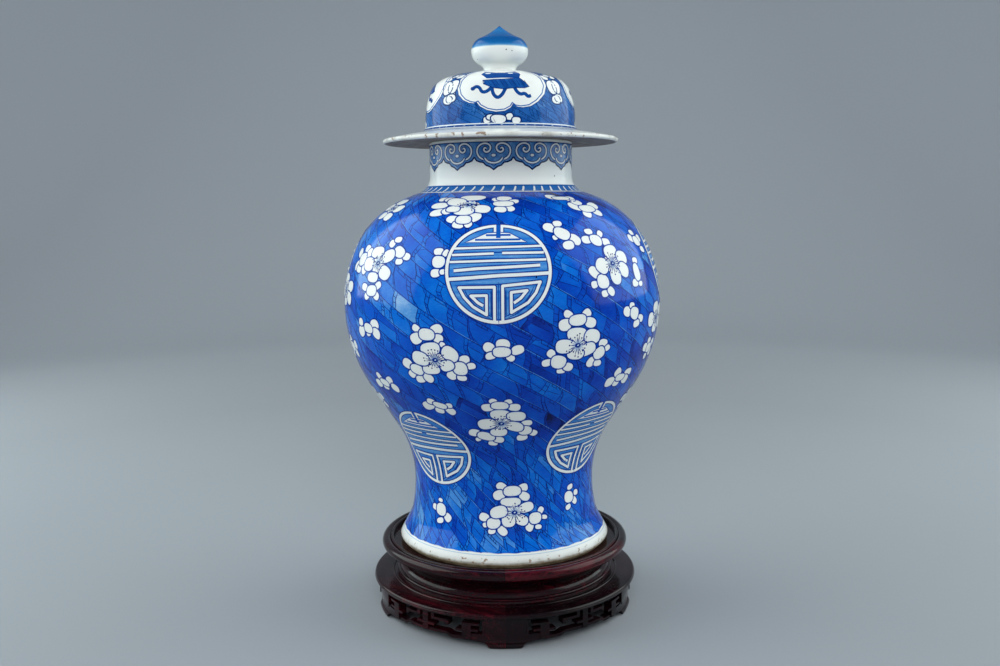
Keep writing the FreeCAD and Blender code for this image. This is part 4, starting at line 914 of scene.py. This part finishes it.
# Buds in view: (bearing, level), width, height, tilt, and the places of the lobes
buds = [
    ((-60.2, 227.0), 12.0, 9.6, 10, [(-59.0, 235.0), (-64.6, 231.5), (-64.0, 222.0), (-61.6, 219.6), (-56.8, 220.0), (-56.0, 232.0)]),
    ((-39.0, 233.4), 11.6, 8.0, -28, [(-44.4, 239.2), (-41.8, 242.2), (-37.9, 226.6), (-34.8, 230.2)]),
    ((-49.6, 205.8), 12.0, 8.0, 0, [(-54.4, 208.0), (-46.0, 210.0), (-52.2, 201.6), (-46.4, 202.2)]),
    ((-51.8, 178.6), 11.6, 7.0, -6, [(-57.0, 175.6, 9.4), (-56.8, 182.6, 6.5), (-47.6, 182.0, 8.8), (-47.0, 175.4, 8.6), (-52.0, 174.4, 5.4)]),
    ((-25.2, 178.2), 11.8, 8.8, 0, [(-29.2, 182.4, 6.2), (-21.4, 182.0, 8.6), (-29.4, 174.8, 9.4), (-20.8, 175.4, 7.4), (-19.4, 171.0, 4.6)]),
    ((-14.4, 154.8), 10.6, 9.8, 0, [(-12.6, 162.0, 7.6), (-10.4, 157.0, 6.0), (-17.6, 149.8, 8.4), (-14.2, 147.6, 6.4), (-17.0, 158.6, 5.0)]),
    ((-30.8, 152.4), 10.6, 8.2, -20, [(-34.6, 156.4, 8.6), (-33.4, 148.6, 7.0), (-30.2, 144.8, 7.8), (-26.6, 146.4, 8.0)]),
    ((24.6, 187.2), 13.0, 8.0, 0, [(21.0, 191.4, 6.8), (28.0, 191.4, 7.2), (19.8, 184.2, 9.2), (29.6, 184.8, 8.6)]),
    ((18.6, 158.6), 11.8, 9.4, -10, [(15.6, 165.2, 6.6), (14.2, 158.4, 6.6), (20.0, 151.8, 6.4), (22.6, 154.2, 7.0)]),
    ((34.0, 162.6), 9.8, 9.2, 30, [(35.2, 169.8, 8.0), (37.4, 165.8, 5.4), (31.0, 156.2, 8.0), (34.0, 154.8, 6.4)]),
    ((49.8, 188.0), 11.0, 8.8, -16, [(45.4, 190.0, 8.2), (48.2, 194.2, 6.0), (54.2, 183.4, 6.6), (51.4, 179.8, 7.4)]),
    ((49.0, 140.8), 11.0, 6.4, 0, [(43.0, 138.6, 9.0), (46.2, 145.4, 8.2), (53.6, 143.6, 8.4), (53.4, 138.2, 8.4), (47.6, 136.6, 7.4)]),
    ((-0.4, 167.0), 12.8, 7.0, 0, [(0.0, 172.8, 9.0), (-4.8, 170.4, 8.0), (-4.2, 164.2, 6.4), (2.6, 162.8, 6.0), (5.0, 168.4, 7.8)]),
    ((-25.6, 125.4), 10.6, 5.8, -12, [(-31.4, 124.4, 9.4), (-29.4, 128.2, 6.4), (-26.6, 121.0, 7.4), (-21.4, 121.4, 8.0), (-21.4, 125.8, 5.4)]),
    ((-51.0, 138.0), 10.4, 6.6, -14, [(-53.4, 142.4, 7.0), (-56.2, 136.2, 8.4), (-51.4, 134.2, 6.4), (-46.8, 140.8, 7.4), (-45.0, 135.0, 7.8)]),
    ((-1.4, 127.0), 12.8, 7.0, 0, [(-6.4, 125.4, 8.4), (-4.0, 130.6, 6.0), (2.0, 129.8, 6.2), (4.6, 125.4, 8.2)]),
    ((-8.2, 101.4), 12.6, 8.2, -14, [(-13.6, 104.2, 8.6), (-5.0, 95.2, 6.8), (-2.2, 98.6, 7.6), (-12.4, 98.4, 4.6)]),
    ((9.6, 106.0), 10.0, 9.0, 0, [(10.0, 112.6, 7.4), (13.6, 103.6, 7.0), (8.6, 99.6, 7.8)]),
    ((4.8, 56.0), 12.5, 8.4, 0, [(-1.8, 59.6, 7.6), (11.5, 58.2, 7.6), (-3.6, 52.8, 8.4), (12.6, 51.2, 7.8)]),
    ((-6.4, 31.8), 10.3, 8.0, 0, [(-12.4, 36.4, 7.4), (-11.2, 30.4, 4.6), (-7.4, 25.6, 5.4), (-0.8, 26.0, 7.2)]),
    ((18.5, 34.4), 9.5, 9.0, 0, [(22.4, 40.0, 5.6), (24.8, 34.4, 4.6), (20.2, 27.4, 5.0), (14.6, 28.2, 7.0)]),
    ((-41.6, 37.2), 10.0, 9.6, 0, [(-42.4, 44.6, 4.4), (-35.6, 32.0, 7.0), (-41.6, 28.4, 6.0), (-47.2, 38.0, 5.6)]),
    ((43.4, 45.4), 9.6, 9.0, 0, [(44.6, 53.4, 5.6), (48.6, 41.4, 6.4), (42.4, 37.4, 5.6), (50.4, 47.4, 5.4)]),
    ((-21.8, 227.4), 9.4, 9.0, 0, [(-22.4, 234.6, 6.8), (-19.4, 233.6, 5.4), (-22.4, 219.4, 7.4), (-19.6, 220.4, 5.0)]),
    ((-30.6, 265.0), 13.0, 5.4, 0, [(-32.0, 269.6, 6.6), (-27.0, 269.4, 7.4), (-29.0, 259.8, 9.0), (-24.4, 261.0, 7.0)]),
    ((-15.6, 255.4), 11.4, 6.0, 0, [(-20.6, 255.6, 7.4), (-11.0, 257.0, 8.6), (-17.4, 251.8, 7.2), (-13.2, 252.4, 5.6)]),
    ((1.0, 266.0), 14.0, 4.8, 0, [(-2.4, 268.8, 6.4), (1.4, 269.8, 8.0), (6.6, 267.6, 5.6), (4.0, 262.4, 6.0), (-0.6, 261.8, 7.4)]),
    ((22.8, 245.4), 11.6, 8.6, -24, [(18.4, 249.6, 9.0), (22.2, 252.4, 6.8), (27.6, 241.0, 8.8), (24.2, 237.0, 8.2), (19.4, 242.6, 4.4)]),
    ((36.6, 240.2), 10.2, 8.6, -8, [(32.0, 240.8, 7.4), (34.6, 246.6, 6.6), (40.0, 244.6, 5.8), (41.4, 238.6, 7.2)]),
    ((35.2, 212.2), 10.4, 10.0, 0, [(31.8, 219.2, 8.4), (31.2, 210.4, 5.8), (35.4, 203.4, 6.2), (38.4, 204.8, 6.8)]),
    ((53.6, 216.6), 8.6, 12.6, 8, [(54.4, 225.2, 6.4), (51.4, 208.8, 7.2), (55.0, 207.8, 5.4)]),
    ((43.0, 262.0), 15.0, 5.6, 0, [(36.4, 263.6, 9.0), (40.0, 266.6, 8.0), (49.6, 264.0, 8.6), (47.4, 259.0, 7.6), (40.0, 258.4, 7.4)]),
    ((33.4, 269.4), 14.0, 3.8, 0, [(28.0, 270.4, 8.0), (38.8, 269.0, 8.0)]),
    ((66.6, 158.6), 12.0, 8.0, 0, [(61.8, 160.0, 8.0), (65.0, 164.6, 7.0), (70.4, 162.0, 7.6), (69.8, 154.6, 7.4), (64.6, 152.4, 6.4)]),
    ((62.4, 238.0), 11.0, 8.0, 0, [(58.2, 240.4, 7.0), (62.0, 244.6, 6.4), (66.6, 240.0, 7.2), (64.6, 231.6, 7.0)]),
    ((70.6, 118.6), 12.0, 8.0, 0, [(65.4, 120.0, 8.0), (69.0, 125.0, 7.0), (75.4, 121.0, 7.6), (73.8, 113.6, 7.4), (67.6, 112.4, 6.4)]),
    ((-71.0, 160.6), 12.0, 8.0, 0, [(-75.8, 162.0, 8.0), (-72.0, 166.8, 7.0), (-66.0, 163.0, 7.6), (-67.2, 156.4, 7.4), (-73.6, 154.4, 6.4)]),
    ((-69.0, 121.0), 12.0, 8.0, 0, [(-74.0, 122.6, 8.0), (-70.0, 127.4, 7.0), (-63.8, 123.4, 7.6), (-65.2, 116.4, 7.4), (-71.8, 114.4, 6.4)]),
    ((88.0, 140.6), 12.0, 8.0, 0, [(83.0, 142.0, 8.0), (87.0, 146.8, 7.0), (93.0, 143.0, 7.6), (91.8, 136.4, 7.4), (85.2, 134.4, 6.4)]),
    ((90.0, 96.0), 12.0, 7.0, 0, [(84.0, 97.0, 8.0), (88.6, 101.0, 7.0), (96.0, 98.0, 7.6), (94.2, 92.0, 7.4), (86.2, 90.6, 6.4)]),
]

# Medallions stand between: four on the shoulder and four on the foot of the belly
medallions = [(-1.3, 221.2, 1.0), (87.0, 222.5, 0.98), (179.0, 219.0, 1.0), (267.5, 220.0, 0.98),
              (46.6, 94.5, 0.93), (-42.6, 88.5, 0.93), (135.5, 92.0, 0.93), (225.5, 91.0, 0.93)]


for half in (0.0, 180.0):
    for k, (spot, petals) in enumerate(open_blossoms):
        if half and abs(spot[0]) > 60:
            continue
        turned_petals = [(b + half, level, w, h, t) for b, level, w, h, t in petals]
        blossom(blossoms, (spot[0] + half, spot[1] + BASE), turned_petals, 100 + k + int(half))
    for k, (spot, wide, high, tilt, lobes) in enumerate(buds):
        moved = [(lobe[0] + half,) + tuple(lobe[1:]) for lobe in lobes]
        bud(blossoms, (spot[0] + half, spot[1] + BASE), wide, high, tilt, moved, 300 + k + int(half))


# Longevity roundels: a lighter disc, white bars and hooks with dark edges

roundels = Brushwork("jar_roundels", jar_skin)


def smooth(points):
    """Corners cut twice, so that a line flows."""
    for _ in range(2):
        cut = [points[0]]
        for (x0, y0), (x1, y1) in zip(points, points[1:]):
            cut += [(x0 * 0.75 + x1 * 0.25, y0 * 0.75 + y1 * 0.25), (x0 * 0.25 + x1 * 0.75, y0 * 0.25 + y1 * 0.75)]
        points = cut + [points[-1]]
    return points


def white_line(spot, points, width, lift=0.20, edge=0.75):
    """A line left white between two dark edges, in straight runs that meet in round corners."""
    for wide, wash, height in ((width + edge * 2, 0.86, lift), (width, 0.03, lift + 0.02)):
        for near, far in zip(points, points[1:]):
            roundels.stroke(spot, [near, far], wide, wash, height, step=2.0)
        for x, y in points[1:-1]:
            roundels.dot(spot, x, y, wide, wash, height)


def roundel(bearing, level, scale):
    """The round longevity sign, drawn in units of one millimetre at full size."""
    spot = (bearing, level + BASE)
    s = scale

    def at(points):
        return [((x - 500.5) * 0.668 * s, (273.0 - y) * 0.70 * s) for x, y in points]

    ring = [(35.4 * s * math.cos(k * math.pi / 48), 34.2 * s * math.sin(k * math.pi / 48)) for k in range(96)]
    disc = [(x * 1.02, y * 1.02) for x, y in ring]
    roundels.area(spot, disc, lambda x, y: 0.44 + 0.07 * np.sin(y * 1.7 + 0.4 * np.sin(x * 0.2)) + 0.05 * np.sin(x * 0.12 + y * 0.3), 0.15, 2.4)
    roundels.stroke(spot, ring, 3.9 * s, 0.86, 0.20, True)
    roundels.stroke(spot, ring, 2.2 * s, 0.02, 0.22, True)
    hood = at([(466, 243.5), (489, 232.5), (497, 232.0), (504, 232.0), (512, 232.5), (530, 243.5)])
    roundels.area(spot, hood, 0.02, 0.20, 3.0)
    roundels.stroke(spot, hood, 0.7, 0.74, 0.24, True)
    for side in (497.2, 504.2):
        white_line(spot, at([(side, 223.5), (side, 232.5)]), 1.7 * s)
    roundels.stroke(spot, at([(500.6, 222.5), (500.6, 238.5)]), 3.0 * s, 0.66, 0.25)
    roundels.stroke(spot, at([(488, 235.2), (513, 235.0)]), 1.6 * s, 0.66, 0.25)
    roundels.stroke(spot, at([(477, 240.4), (523, 240.2)]), 1.5 * s, 0.66, 0.25)
    bars = [([(455, 249.8), (500, 248.4), (545, 247.6)], 1.6), ([(453, 256.6), (496, 255.0)], 1.7), ([(504.5, 254.6), (547, 254.6)], 1.7),
            ([(450.5, 263.8), (500, 262.2), (549.5, 261.8)], 1.6), ([(455, 272.4), (480, 270.2), (543, 267.4)], 2.0),
            ([(448.6, 281.0), (500, 277.2), (552, 275.4)], 2.3)]
    for points, width in bars:
        white_line(spot, at(points), width * s)
    # Brush marks in the disc, above and below each bar and round the hooks
    for row, (y, slope) in enumerate(((251.2, 1.4), (253.8, 1.2), (258.2, 1.0), (261.0, 1.2), (265.4, 2.0), (268.6, 3.6), (273.8, 4.2), (276.6, 3.8), (282.6, 3.4), (285.6, 2.6))):
        reach = 44 - 2 * (row % 3)
        roundels.stroke(spot, at([(500 - reach, y + slope / 2), (500 + reach, y - slope / 2)]), 0.9 if row % 2 else 1.0, 0.80 if row % 2 else 0.36, 0.185, taper=0.2)
    for way in (1, -1):
        for inset, wash in ((3.4, 0.80), (5.6, 0.36), (8.6, 0.78)):
            sweep_line = [((500.7 + way * x), y) for x, y in ((44.5 - inset, 287.5), (40.0 - inset, 297.0), (32.0 - inset, 306.5), (22.0 - inset, 313.5), (12.0 - inset, 318.0))]
            roundels.stroke(spot, smooth(at(sweep_line)), 1.0, wash, 0.185, taper=0.3, step=1.6)
        roundels.stroke(spot, at([(500.7 + way * 7.4, 290.0), (500.7 + way * 7.4, 318.0)]), 0.8, 0.88, 0.185, taper=0.2)
    left = [(496.6, 322.5), (496.6, 288.2), (460.5, 288.8), (466, 298.2), (475, 307.0), (488.6, 314.6), (488.6, 296.2), (472.8, 296.6), (480, 303.2), (485.2, 306.0)]
    right = [(504.8, 322.5), (504.8, 287.2), (543.0, 283.8), (538.4, 294.2), (530.4, 303.4), (513.4, 312.6), (513.4, 293.4), (529.4, 291.8), (522.8, 299.2), (516.0, 303.6)]
    for hook in (left, right):
        white_line(spot, at(hook), 1.9 * s)
    roundels.stroke(spot, at([(500.7, 283.0), (500.7, 323.5)]), 0.6, 0.74, 0.23, taper=0.1)


for bearing, level, scale in medallions:
    roundel(bearing, level, scale)


# Bands of the jar: line under the lip, ruyi lappets on the neck, border on the shoulder, line on the foot

bands = Brushwork("jar_bands", jar_skin)
NECK = 55.0


def ring_line(work, level, width, wash, lift=0.12):
    """A painted line or band all the way round at one level."""
    way = work.skin.way(level)
    count, rows = 160, max(1, math.ceil(width / 1.2))
    ways = way + width * (0.5 - np.arange(rows + 1) / rows)
    angle = 2 * math.pi * np.arange(count + 1) / count
    faces = [[r * (count + 1) + k, r * (count + 1) + k + 1, (r + 1) * (count + 1) + k + 1, (r + 1) * (count + 1) + k] for r in range(rows) for k in range(count)]
    around = float(work.skin.radius(way)) * 2 * math.pi
    chart = ("ribbon", work.ribbons, np.tile(angle / (2 * math.pi) * around, rows + 1), np.repeat(np.arange(rows + 1) / rows, count + 1))
    work.ribbons += around + 1
    work.add(np.tile(angle, rows + 1), np.repeat(ways, count + 1), lift, wash, faces, chart)


def lappet(bearing):
    """One ruyi head hanging from the line under the lip."""
    spot = (bearing, 353.8)
    half = math.pi * NECK / 12
    side = [(half, 9.4), (half, -1.2), (12.6, -3.7), (10.0, -4.7), (7.6, -5.0), (5.6, -7.1), (2.8, -8.1), (0.0, -10.2)]
    shape = side + [(-x, y) for x, y in side[-2::-1]]
    bands.area(spot, shape, lambda x, y: 0.40 + 0.10 * np.sin(x * 0.9) * np.cos(y * 0.8) + 0.12 * np.exp(-((np.abs(x) - 6.5) ** 2 + (y - 4.5) ** 2) / 12), 0.10, 2.0)
    lower = shape[1:-1]
    bands.stroke(spot, lower, 1.1, 0.95, 0.14, step=1.6)
    within = [(x * 0.93, y + 2.3) for x, y in lower[1:-1]]
    bands.stroke(spot, within, 0.5, 0.82, 0.14, step=1.6)
    for way in (1, -1):
        scroll = [(7.4, -3.1), (10.8, -1.2), (12.4, 2.2), (11.9, 5.6), (9.4, 8.0), (6.2, 8.7), (3.2, 7.9), (1.9, 5.6), (2.9, 3.0), (5.4, 2.0), (7.4, 3.7), (6.4, 5.6), (4.9, 4.8)]
        scroll = smooth([(x * way, y) for x, y in scroll])
        bands.stroke(spot, scroll, 2.4, 0.88, 0.13, step=1.2)
        bands.stroke(spot, scroll, 1.15, 0.04, 0.16, step=1.2, taper=0.04)
    bands.petal(spot, 0.0, 0.0, 3.4, 2.6, 0, 0.18, 0.86, 0.0, 0.35, seed=4)
    swag = smooth([(-6.6, -1.6), (-5.4, -3.6), (-3.2, -5.0), (0.0, -5.6), (3.2, -5.0), (5.4, -3.6), (6.6, -1.6)])
    bands.stroke(spot, swag, 2.3, 0.88, 0.135, step=1.2)
    bands.stroke(spot, swag, 1.1, 0.04, 0.165, step=1.2, taper=0.06)


for k in range(12):
    lappet(-5.5 + k * 30.0)
ring_line(bands, 363.3, 0.7, 0.84, 0.17)
border = jar_skin.way(327.3) - jar_skin.way(331.9)
ring_line(bands, 329.6, border, 0.52, 0.09)
ring_line(bands, 331.8, 0.5, 0.70, 0.13)
ring_line(bands, 327.6, 1.3, 0.04, 0.17)
ring_line(bands, 63.0, 0.6, 0.16, 0.12)
draw = random.Random(8)
for k in range(50):
    spot = (k * 7.2 + draw.uniform(-0.8, 0.8) + 1.5, 329.6)
    bar = [(-2.4, -2.7), (-0.9, -2.6), (-0.2, -1.0), (0.7, 2.0), (0.9, 2.9)]
    bands.stroke(spot, bar, 2.0, 0.66, 0.13, step=1.2)
    bands.stroke(spot, bar, 1.4, 0.04, 0.16, step=1.2, taper=0.1)


# Painting of the cover: cartouches, small prunus, the band at the dome's foot

panels = Brushwork("cover_panels", cover_skin)


def at_levels(work, spot, places):
    """Local points from places given as (millimetres to the right, level above the cover's seat)."""
    return [(x, work.skin.way(spot[1]) - work.skin.way(RIM + level)) for x, level in places]


def panel(bearing):
    """A white cartouche with three lobes below, and a ribboned emblem on it."""
    spot = (bearing, RIM + 38.0)
    lobes = [(-14, 52.3), (-23, 50.4), (-29.5, 46.6), (-32.6, 41.5), (-32.8, 36.5), (-30.6, 31.5), (-26.5, 27.8), (-22, 25.8), (-18.4, 25.2), (-16.4, 26.0),
             (-14, 23.2), (-9, 20.6), (-3, 19.4), (3, 20.0), (7, 22.2), (8.6, 24.6), (11, 22.8), (15, 22.2), (21, 23.2), (27, 26.6), (33, 31.8), (36, 37.5),
             (35.6, 42.6), (31.5, 47.4), (24, 50.8), (14, 52.3)]
    rim = []
    for across, level in lobes:
        way = cover_skin.way(RIM + level)
        rim.append((math.radians(across - 1.5) * float(cover_skin.radius(way)), cover_skin.way(spot[1]) - way))
    middle = (sum(x for x, _ in rim) / len(rim), sum(y for _, y in rim) / len(rim))
    wider = [(middle[0] + (x - middle[0]) * 1.075, middle[1] + (y - middle[1]) * 1.085) for x, y in rim]
    panels.area(spot, wider, 0.0, 0.17, 1.7)
    panels.stroke(spot, rim[:], 0.75, 0.56, 0.21, step=1.5)
    panels.stroke(spot, wider[:], 0.5, 0.72, 0.21, step=1.5)
    lid = at_levels(panels, spot, [(-15.0, 45.6), (-12.0, 48.2), (-4.0, 47.0), (2.0, 47.0), (10.0, 48.4), (13.7, 45.6), (12.6, 42.4), (0.0, 42.6), (-11.0, 42.2)])
    panels.area(spot, lid[::-1], 0.72, 0.21, 1.7)
    body = at_levels(panels, spot, [(-13.9, 41.0), (-13.5, 38.3), (-10.6, 37.0), (-6.5, 35.2), (1.5, 34.2), (9.0, 35.2), (16.4, 35.2), (20.0, 36.3), (16.1, 40.0), (12.6, 42.6), (2.9, 41.8)])
    panels.area(spot, body, lambda x, y: 0.68 + 0.07 * np.sin(x * 0.9 + y * 0.5), 0.21, 1.7)
    panels.stroke(spot, body, 0.45, 0.88, 0.24, True, step=1.4)
    for x in range(-11, 17, 3):
        panels.stroke(spot, at_levels(panels, spot, [(x, 41.2), (x + 3.4, 36.2)]), 0.4, 0.86, 0.24, taper=0.3, step=1.4)
    for x in (-9.9, 6.3):
        local = at_levels(panels, spot, [(x, 46.4)])[0]
        panels.petal(spot, local[0], local[1], 4.6, 2.4, 0, 0.235, 0.60, 0.0, 0.5, seed=2)
    panels.stroke(spot, at_levels(panels, spot, [(-14.5, 42.0), (-6.0, 41.9), (5.0, 42.2)]), 0.7, 0.04, 0.26, step=1.4, taper=0.2)
    ribbons = [[(-7.2, 36.0), (-11.2, 32.4), (-14.9, 32.4), (-16.2, 35.5), (-18.6, 36.8), (-21.6, 35.0)],
               [(-7.5, 35.8), (-6.6, 30.6), (-3.6, 27.8), (-0.2, 30.0), (2.4, 34.8)],
               [(8.6, 36.0), (10.4, 32.4), (13.4, 30.4), (16.4, 31.6), (18.6, 29.0), (21.2, 29.8)]]
    for ribbon in ribbons:
        panels.stroke(spot, smooth(at_levels(panels, spot, ribbon)), 2.5, 0.74, 0.225, step=1.0)
    local = at_levels(panels, spot, [(-21.6, 35.0)])[0]
    panels.petal(spot, local[0], local[1], 2.6, 2.2, 0, 0.24, 0.80, 0.74, 0.4, seed=9)


BASE = RIM
for quarter in range(4):
    turn = quarter * 90.0 + 1.5
    panel(turn + (0.0, 7.0, 0.0, 2.5)[quarter])
    bud(cover_blossoms, (turn - 41.0, RIM + 38.0), 9.0, 10.6, -14, [(turn - 38.4, 45.6, 6.8), (turn - 44.0, 46.6, 5.6), (turn - 46.4, 32.4, 5.2), (turn - 41.6, 28.6, 7.8)], 60 + quarter)
    if quarter != 1:
        bud(cover_blossoms, (turn + 43.0, RIM + 37.0), 9.2, 10.4, 20, [(turn + 39.0, 44.4, 6.6), (turn + 44.8, 46.0, 5.0), (turn + 49.6, 31.6, 5.8), (turn + 45.4, 27.4, 8.0)], 70 + quarter)
    bud(cover_blossoms, (turn - 3.0, RIM + 13.0), 11.0, 6.0, 0, [(turn - 11.8, 12.4, 5.4), (turn - 9.4, 14.6, 4.6), (turn + 5.4, 14.8, 5.4), (turn + 10.6, 12.0, 5.8)], 80 + quarter)
ring_line(panels, RIM + 9.9, 0.9, 0.05, 0.22)
ring_line(panels, RIM + 8.7, 2.0, 0.72, 0.14)
ring_line(panels, RIM + 7.5, 0.7, 0.08, 0.22)
ring_line(panels, RIM + 6.5, 1.9, 0.40, 0.14)
ring_line(panels, RIM + 5.3, 2.4, 0.18, 0.14)
for k in range(44):
    panels.stroke((k * 360 / 44 + draw.uniform(-2, 2), RIM + 8.7), [(-0.9, 0.0), (0.9, 0.1)], 0.8, 0.12, 0.20, taper=0.4, step=0.9)
ring_line(panels, CROWN - 1.1, 2.2, 0.10, 0.14)

# Iron specks burnt through the glaze
specks = Brushwork("knob_specks", Skin(knob_outside))
for bearing, level, wide in ((12.8, 13.4, 1.0), (25.0, 12.8, 0.8), (-61.0, 8.0, 0.7), (150.0, 11.0, 0.9)):
    specks.dot((bearing, CROWN + level), 0.0, 0.0, wide, 0.97, 0.10)
specks.finish(knob_glaze, "cover", "cover_knob")
bands.dot((46.0, 339.0), 0.0, 0.0, 1.0, 0.97, 0.10)
roundels.dot((11.0, 217.0 + FOOT), 0.0, 0.0, 1.2, 1.0, 0.26)

for work in (jar_ground, jar_lines, blossoms):
    work.finish(painted_cobalt, "jar", "jar")
roundels.finish(roundel_cobalt, "jar", "jar")
bands.finish(soft_cobalt, "jar", "jar")
for work in (cover_ground, cover_lines, panels, cover_blossoms):
    work.finish(soft_cobalt, "cover", "cover")


# Hardwood of the stand

for k in range(5):
    at_legs = math.radians(-54.0 + 72.0 * k)
    between = math.radians(-90.0 + 72.0 * k)
    tones = ((0.13, 0.03, -0.06), (0.0, 0.02, 0.02), (0.04, 0.0, -0.02), (0.02, 0.03, 0.02), (0.02, 0.02, 0.05))[k]
    for part, turn, tone in (("rim_segment", at_legs, tones[0]), ("waist_segment", between, tones[1]), ("apron_segment", at_legs, tones[2])):
        material = rosewood("%s_wood_%d" % (part, k + 1), turn, (1.0, 14.0, 1.0), tone)
        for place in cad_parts["%s_%d" % (part, k + 1)].material_slots:
            place.material = material
for name, turn, along in (("seat_board", 0.3, (14.0, 1.0, 1.0)), ("rim_tenons", 1.0, (1.0, 8.0, 1.0)), ("waist_tenons", 2.0, (1.0, 8.0, 1.0)),
                          ("apron_tenons", 2.5, (1.0, 8.0, 1.0)), ("stand_dowels", 3.0, (1.0, 1.0, 12.0))):
    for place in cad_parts[name].material_slots:
        place.material = rosewood(name + "_wood", turn, along)


# Floor, backdrop, lights and camera

def sweep():
    """Round floor that curves up into a backdrop on every side."""
    profile = [(0.0, 0.0), (0.8, 0.0), (1.6, 0.0)] + [(1.6 + 0.8 * math.sin(a), 0.8 - 0.8 * math.cos(a)) for a in [math.pi / 2 * k / 12 for k in range(1, 13)]] + [(2.4, 3.4)]
    count, n = 96, len(profile)
    verts = [(r * math.sin(2 * math.pi * k / count), r * math.cos(2 * math.pi * k / count), z) for k in range(count) for r, z in profile]
    faces = [[k * n + row, k * n + row + 1, (k + 1) % count * n + row + 1, (k + 1) % count * n + row][(1 if row == 0 else 0):] for k in range(count) for row in range(n - 1)]
    mesh = bpy.data.meshes.new("sweep")
    mesh.from_pydata(verts, [], faces)
    mesh.polygons.foreach_set("use_smooth", [True] * len(mesh.polygons))
    mesh.materials.append(studio("pale_sweep"))
    floor = bpy.data.objects.new("sweep", mesh)
    bpy.context.scene.collection.objects.link(floor)


def softbox(name, place, target, wide, high, power, colour=(0.985, 1.0, 1.0)):
    lamp = bpy.data.lights.new(name, "AREA")
    lamp.shape = "RECTANGLE"
    lamp.size, lamp.size_y, lamp.energy = wide, high, power
    lamp.color = colour
    box = bpy.data.objects.new(name, lamp)
    box.location = place
    box.rotation_euler = (Vector(target) - Vector(place)).to_track_quat("-Z", "Y").to_euler()
    bpy.context.scene.collection.objects.link(box)
    return box


sweep()
softbox("left_box", (-1.02, 0.06, 0.78), (0.0, 0.0, 0.27), 1.4, 1.2, 14.5, (0.90, 1.0, 0.98))
softbox("right_box", (1.02, 0.06, 0.78), (0.0, 0.0, 0.27), 1.4, 1.2, 12.5, (0.90, 1.0, 0.98))
softbox("top_box", (0.0, 0.1, 1.7), (0.0, 0.0, 0.2), 1.3, 1.1, 5.0).visible_glossy = False
softbox("front_fill", (0.0, -2.2, 1.5), (0.0, 0.0, 0.25), 1.4, 1.0, 37.0, (1.0, 0.99, 0.985)).visible_glossy = False

world = bpy.data.worlds.new("studio")
bpy.context.scene.world = world
world.use_nodes = True
world.node_tree.nodes["Background"].inputs["Color"].default_value = (0.88, 0.90, 0.90, 1.0)
world.node_tree.nodes["Background"].inputs["Strength"].default_value = 0.20

camera_data = bpy.data.cameras.new("camera")
camera_data.lens = 36.0
camera_data.sensor_width = 36.0
camera_data.sensor_fit = "HORIZONTAL"
camera = bpy.data.objects.new("camera", camera_data)
camera.location = (-0.0019, -0.787, 0.3195)
# Tipped down, and rolled a little so that the jar leans left as it does in the photo
camera.rotation_mode = "QUATERNION"
camera.rotation_quaternion = Quaternion((1, 0, 0), math.radians(90.0 - 7.407)) @ Quaternion((0, 0, 1), math.radians(-0.57))
bpy.context.scene.collection.objects.link(camera)
bpy.context.scene.camera = camera

bpy.context.scene.view_settings.view_transform = "Standard"
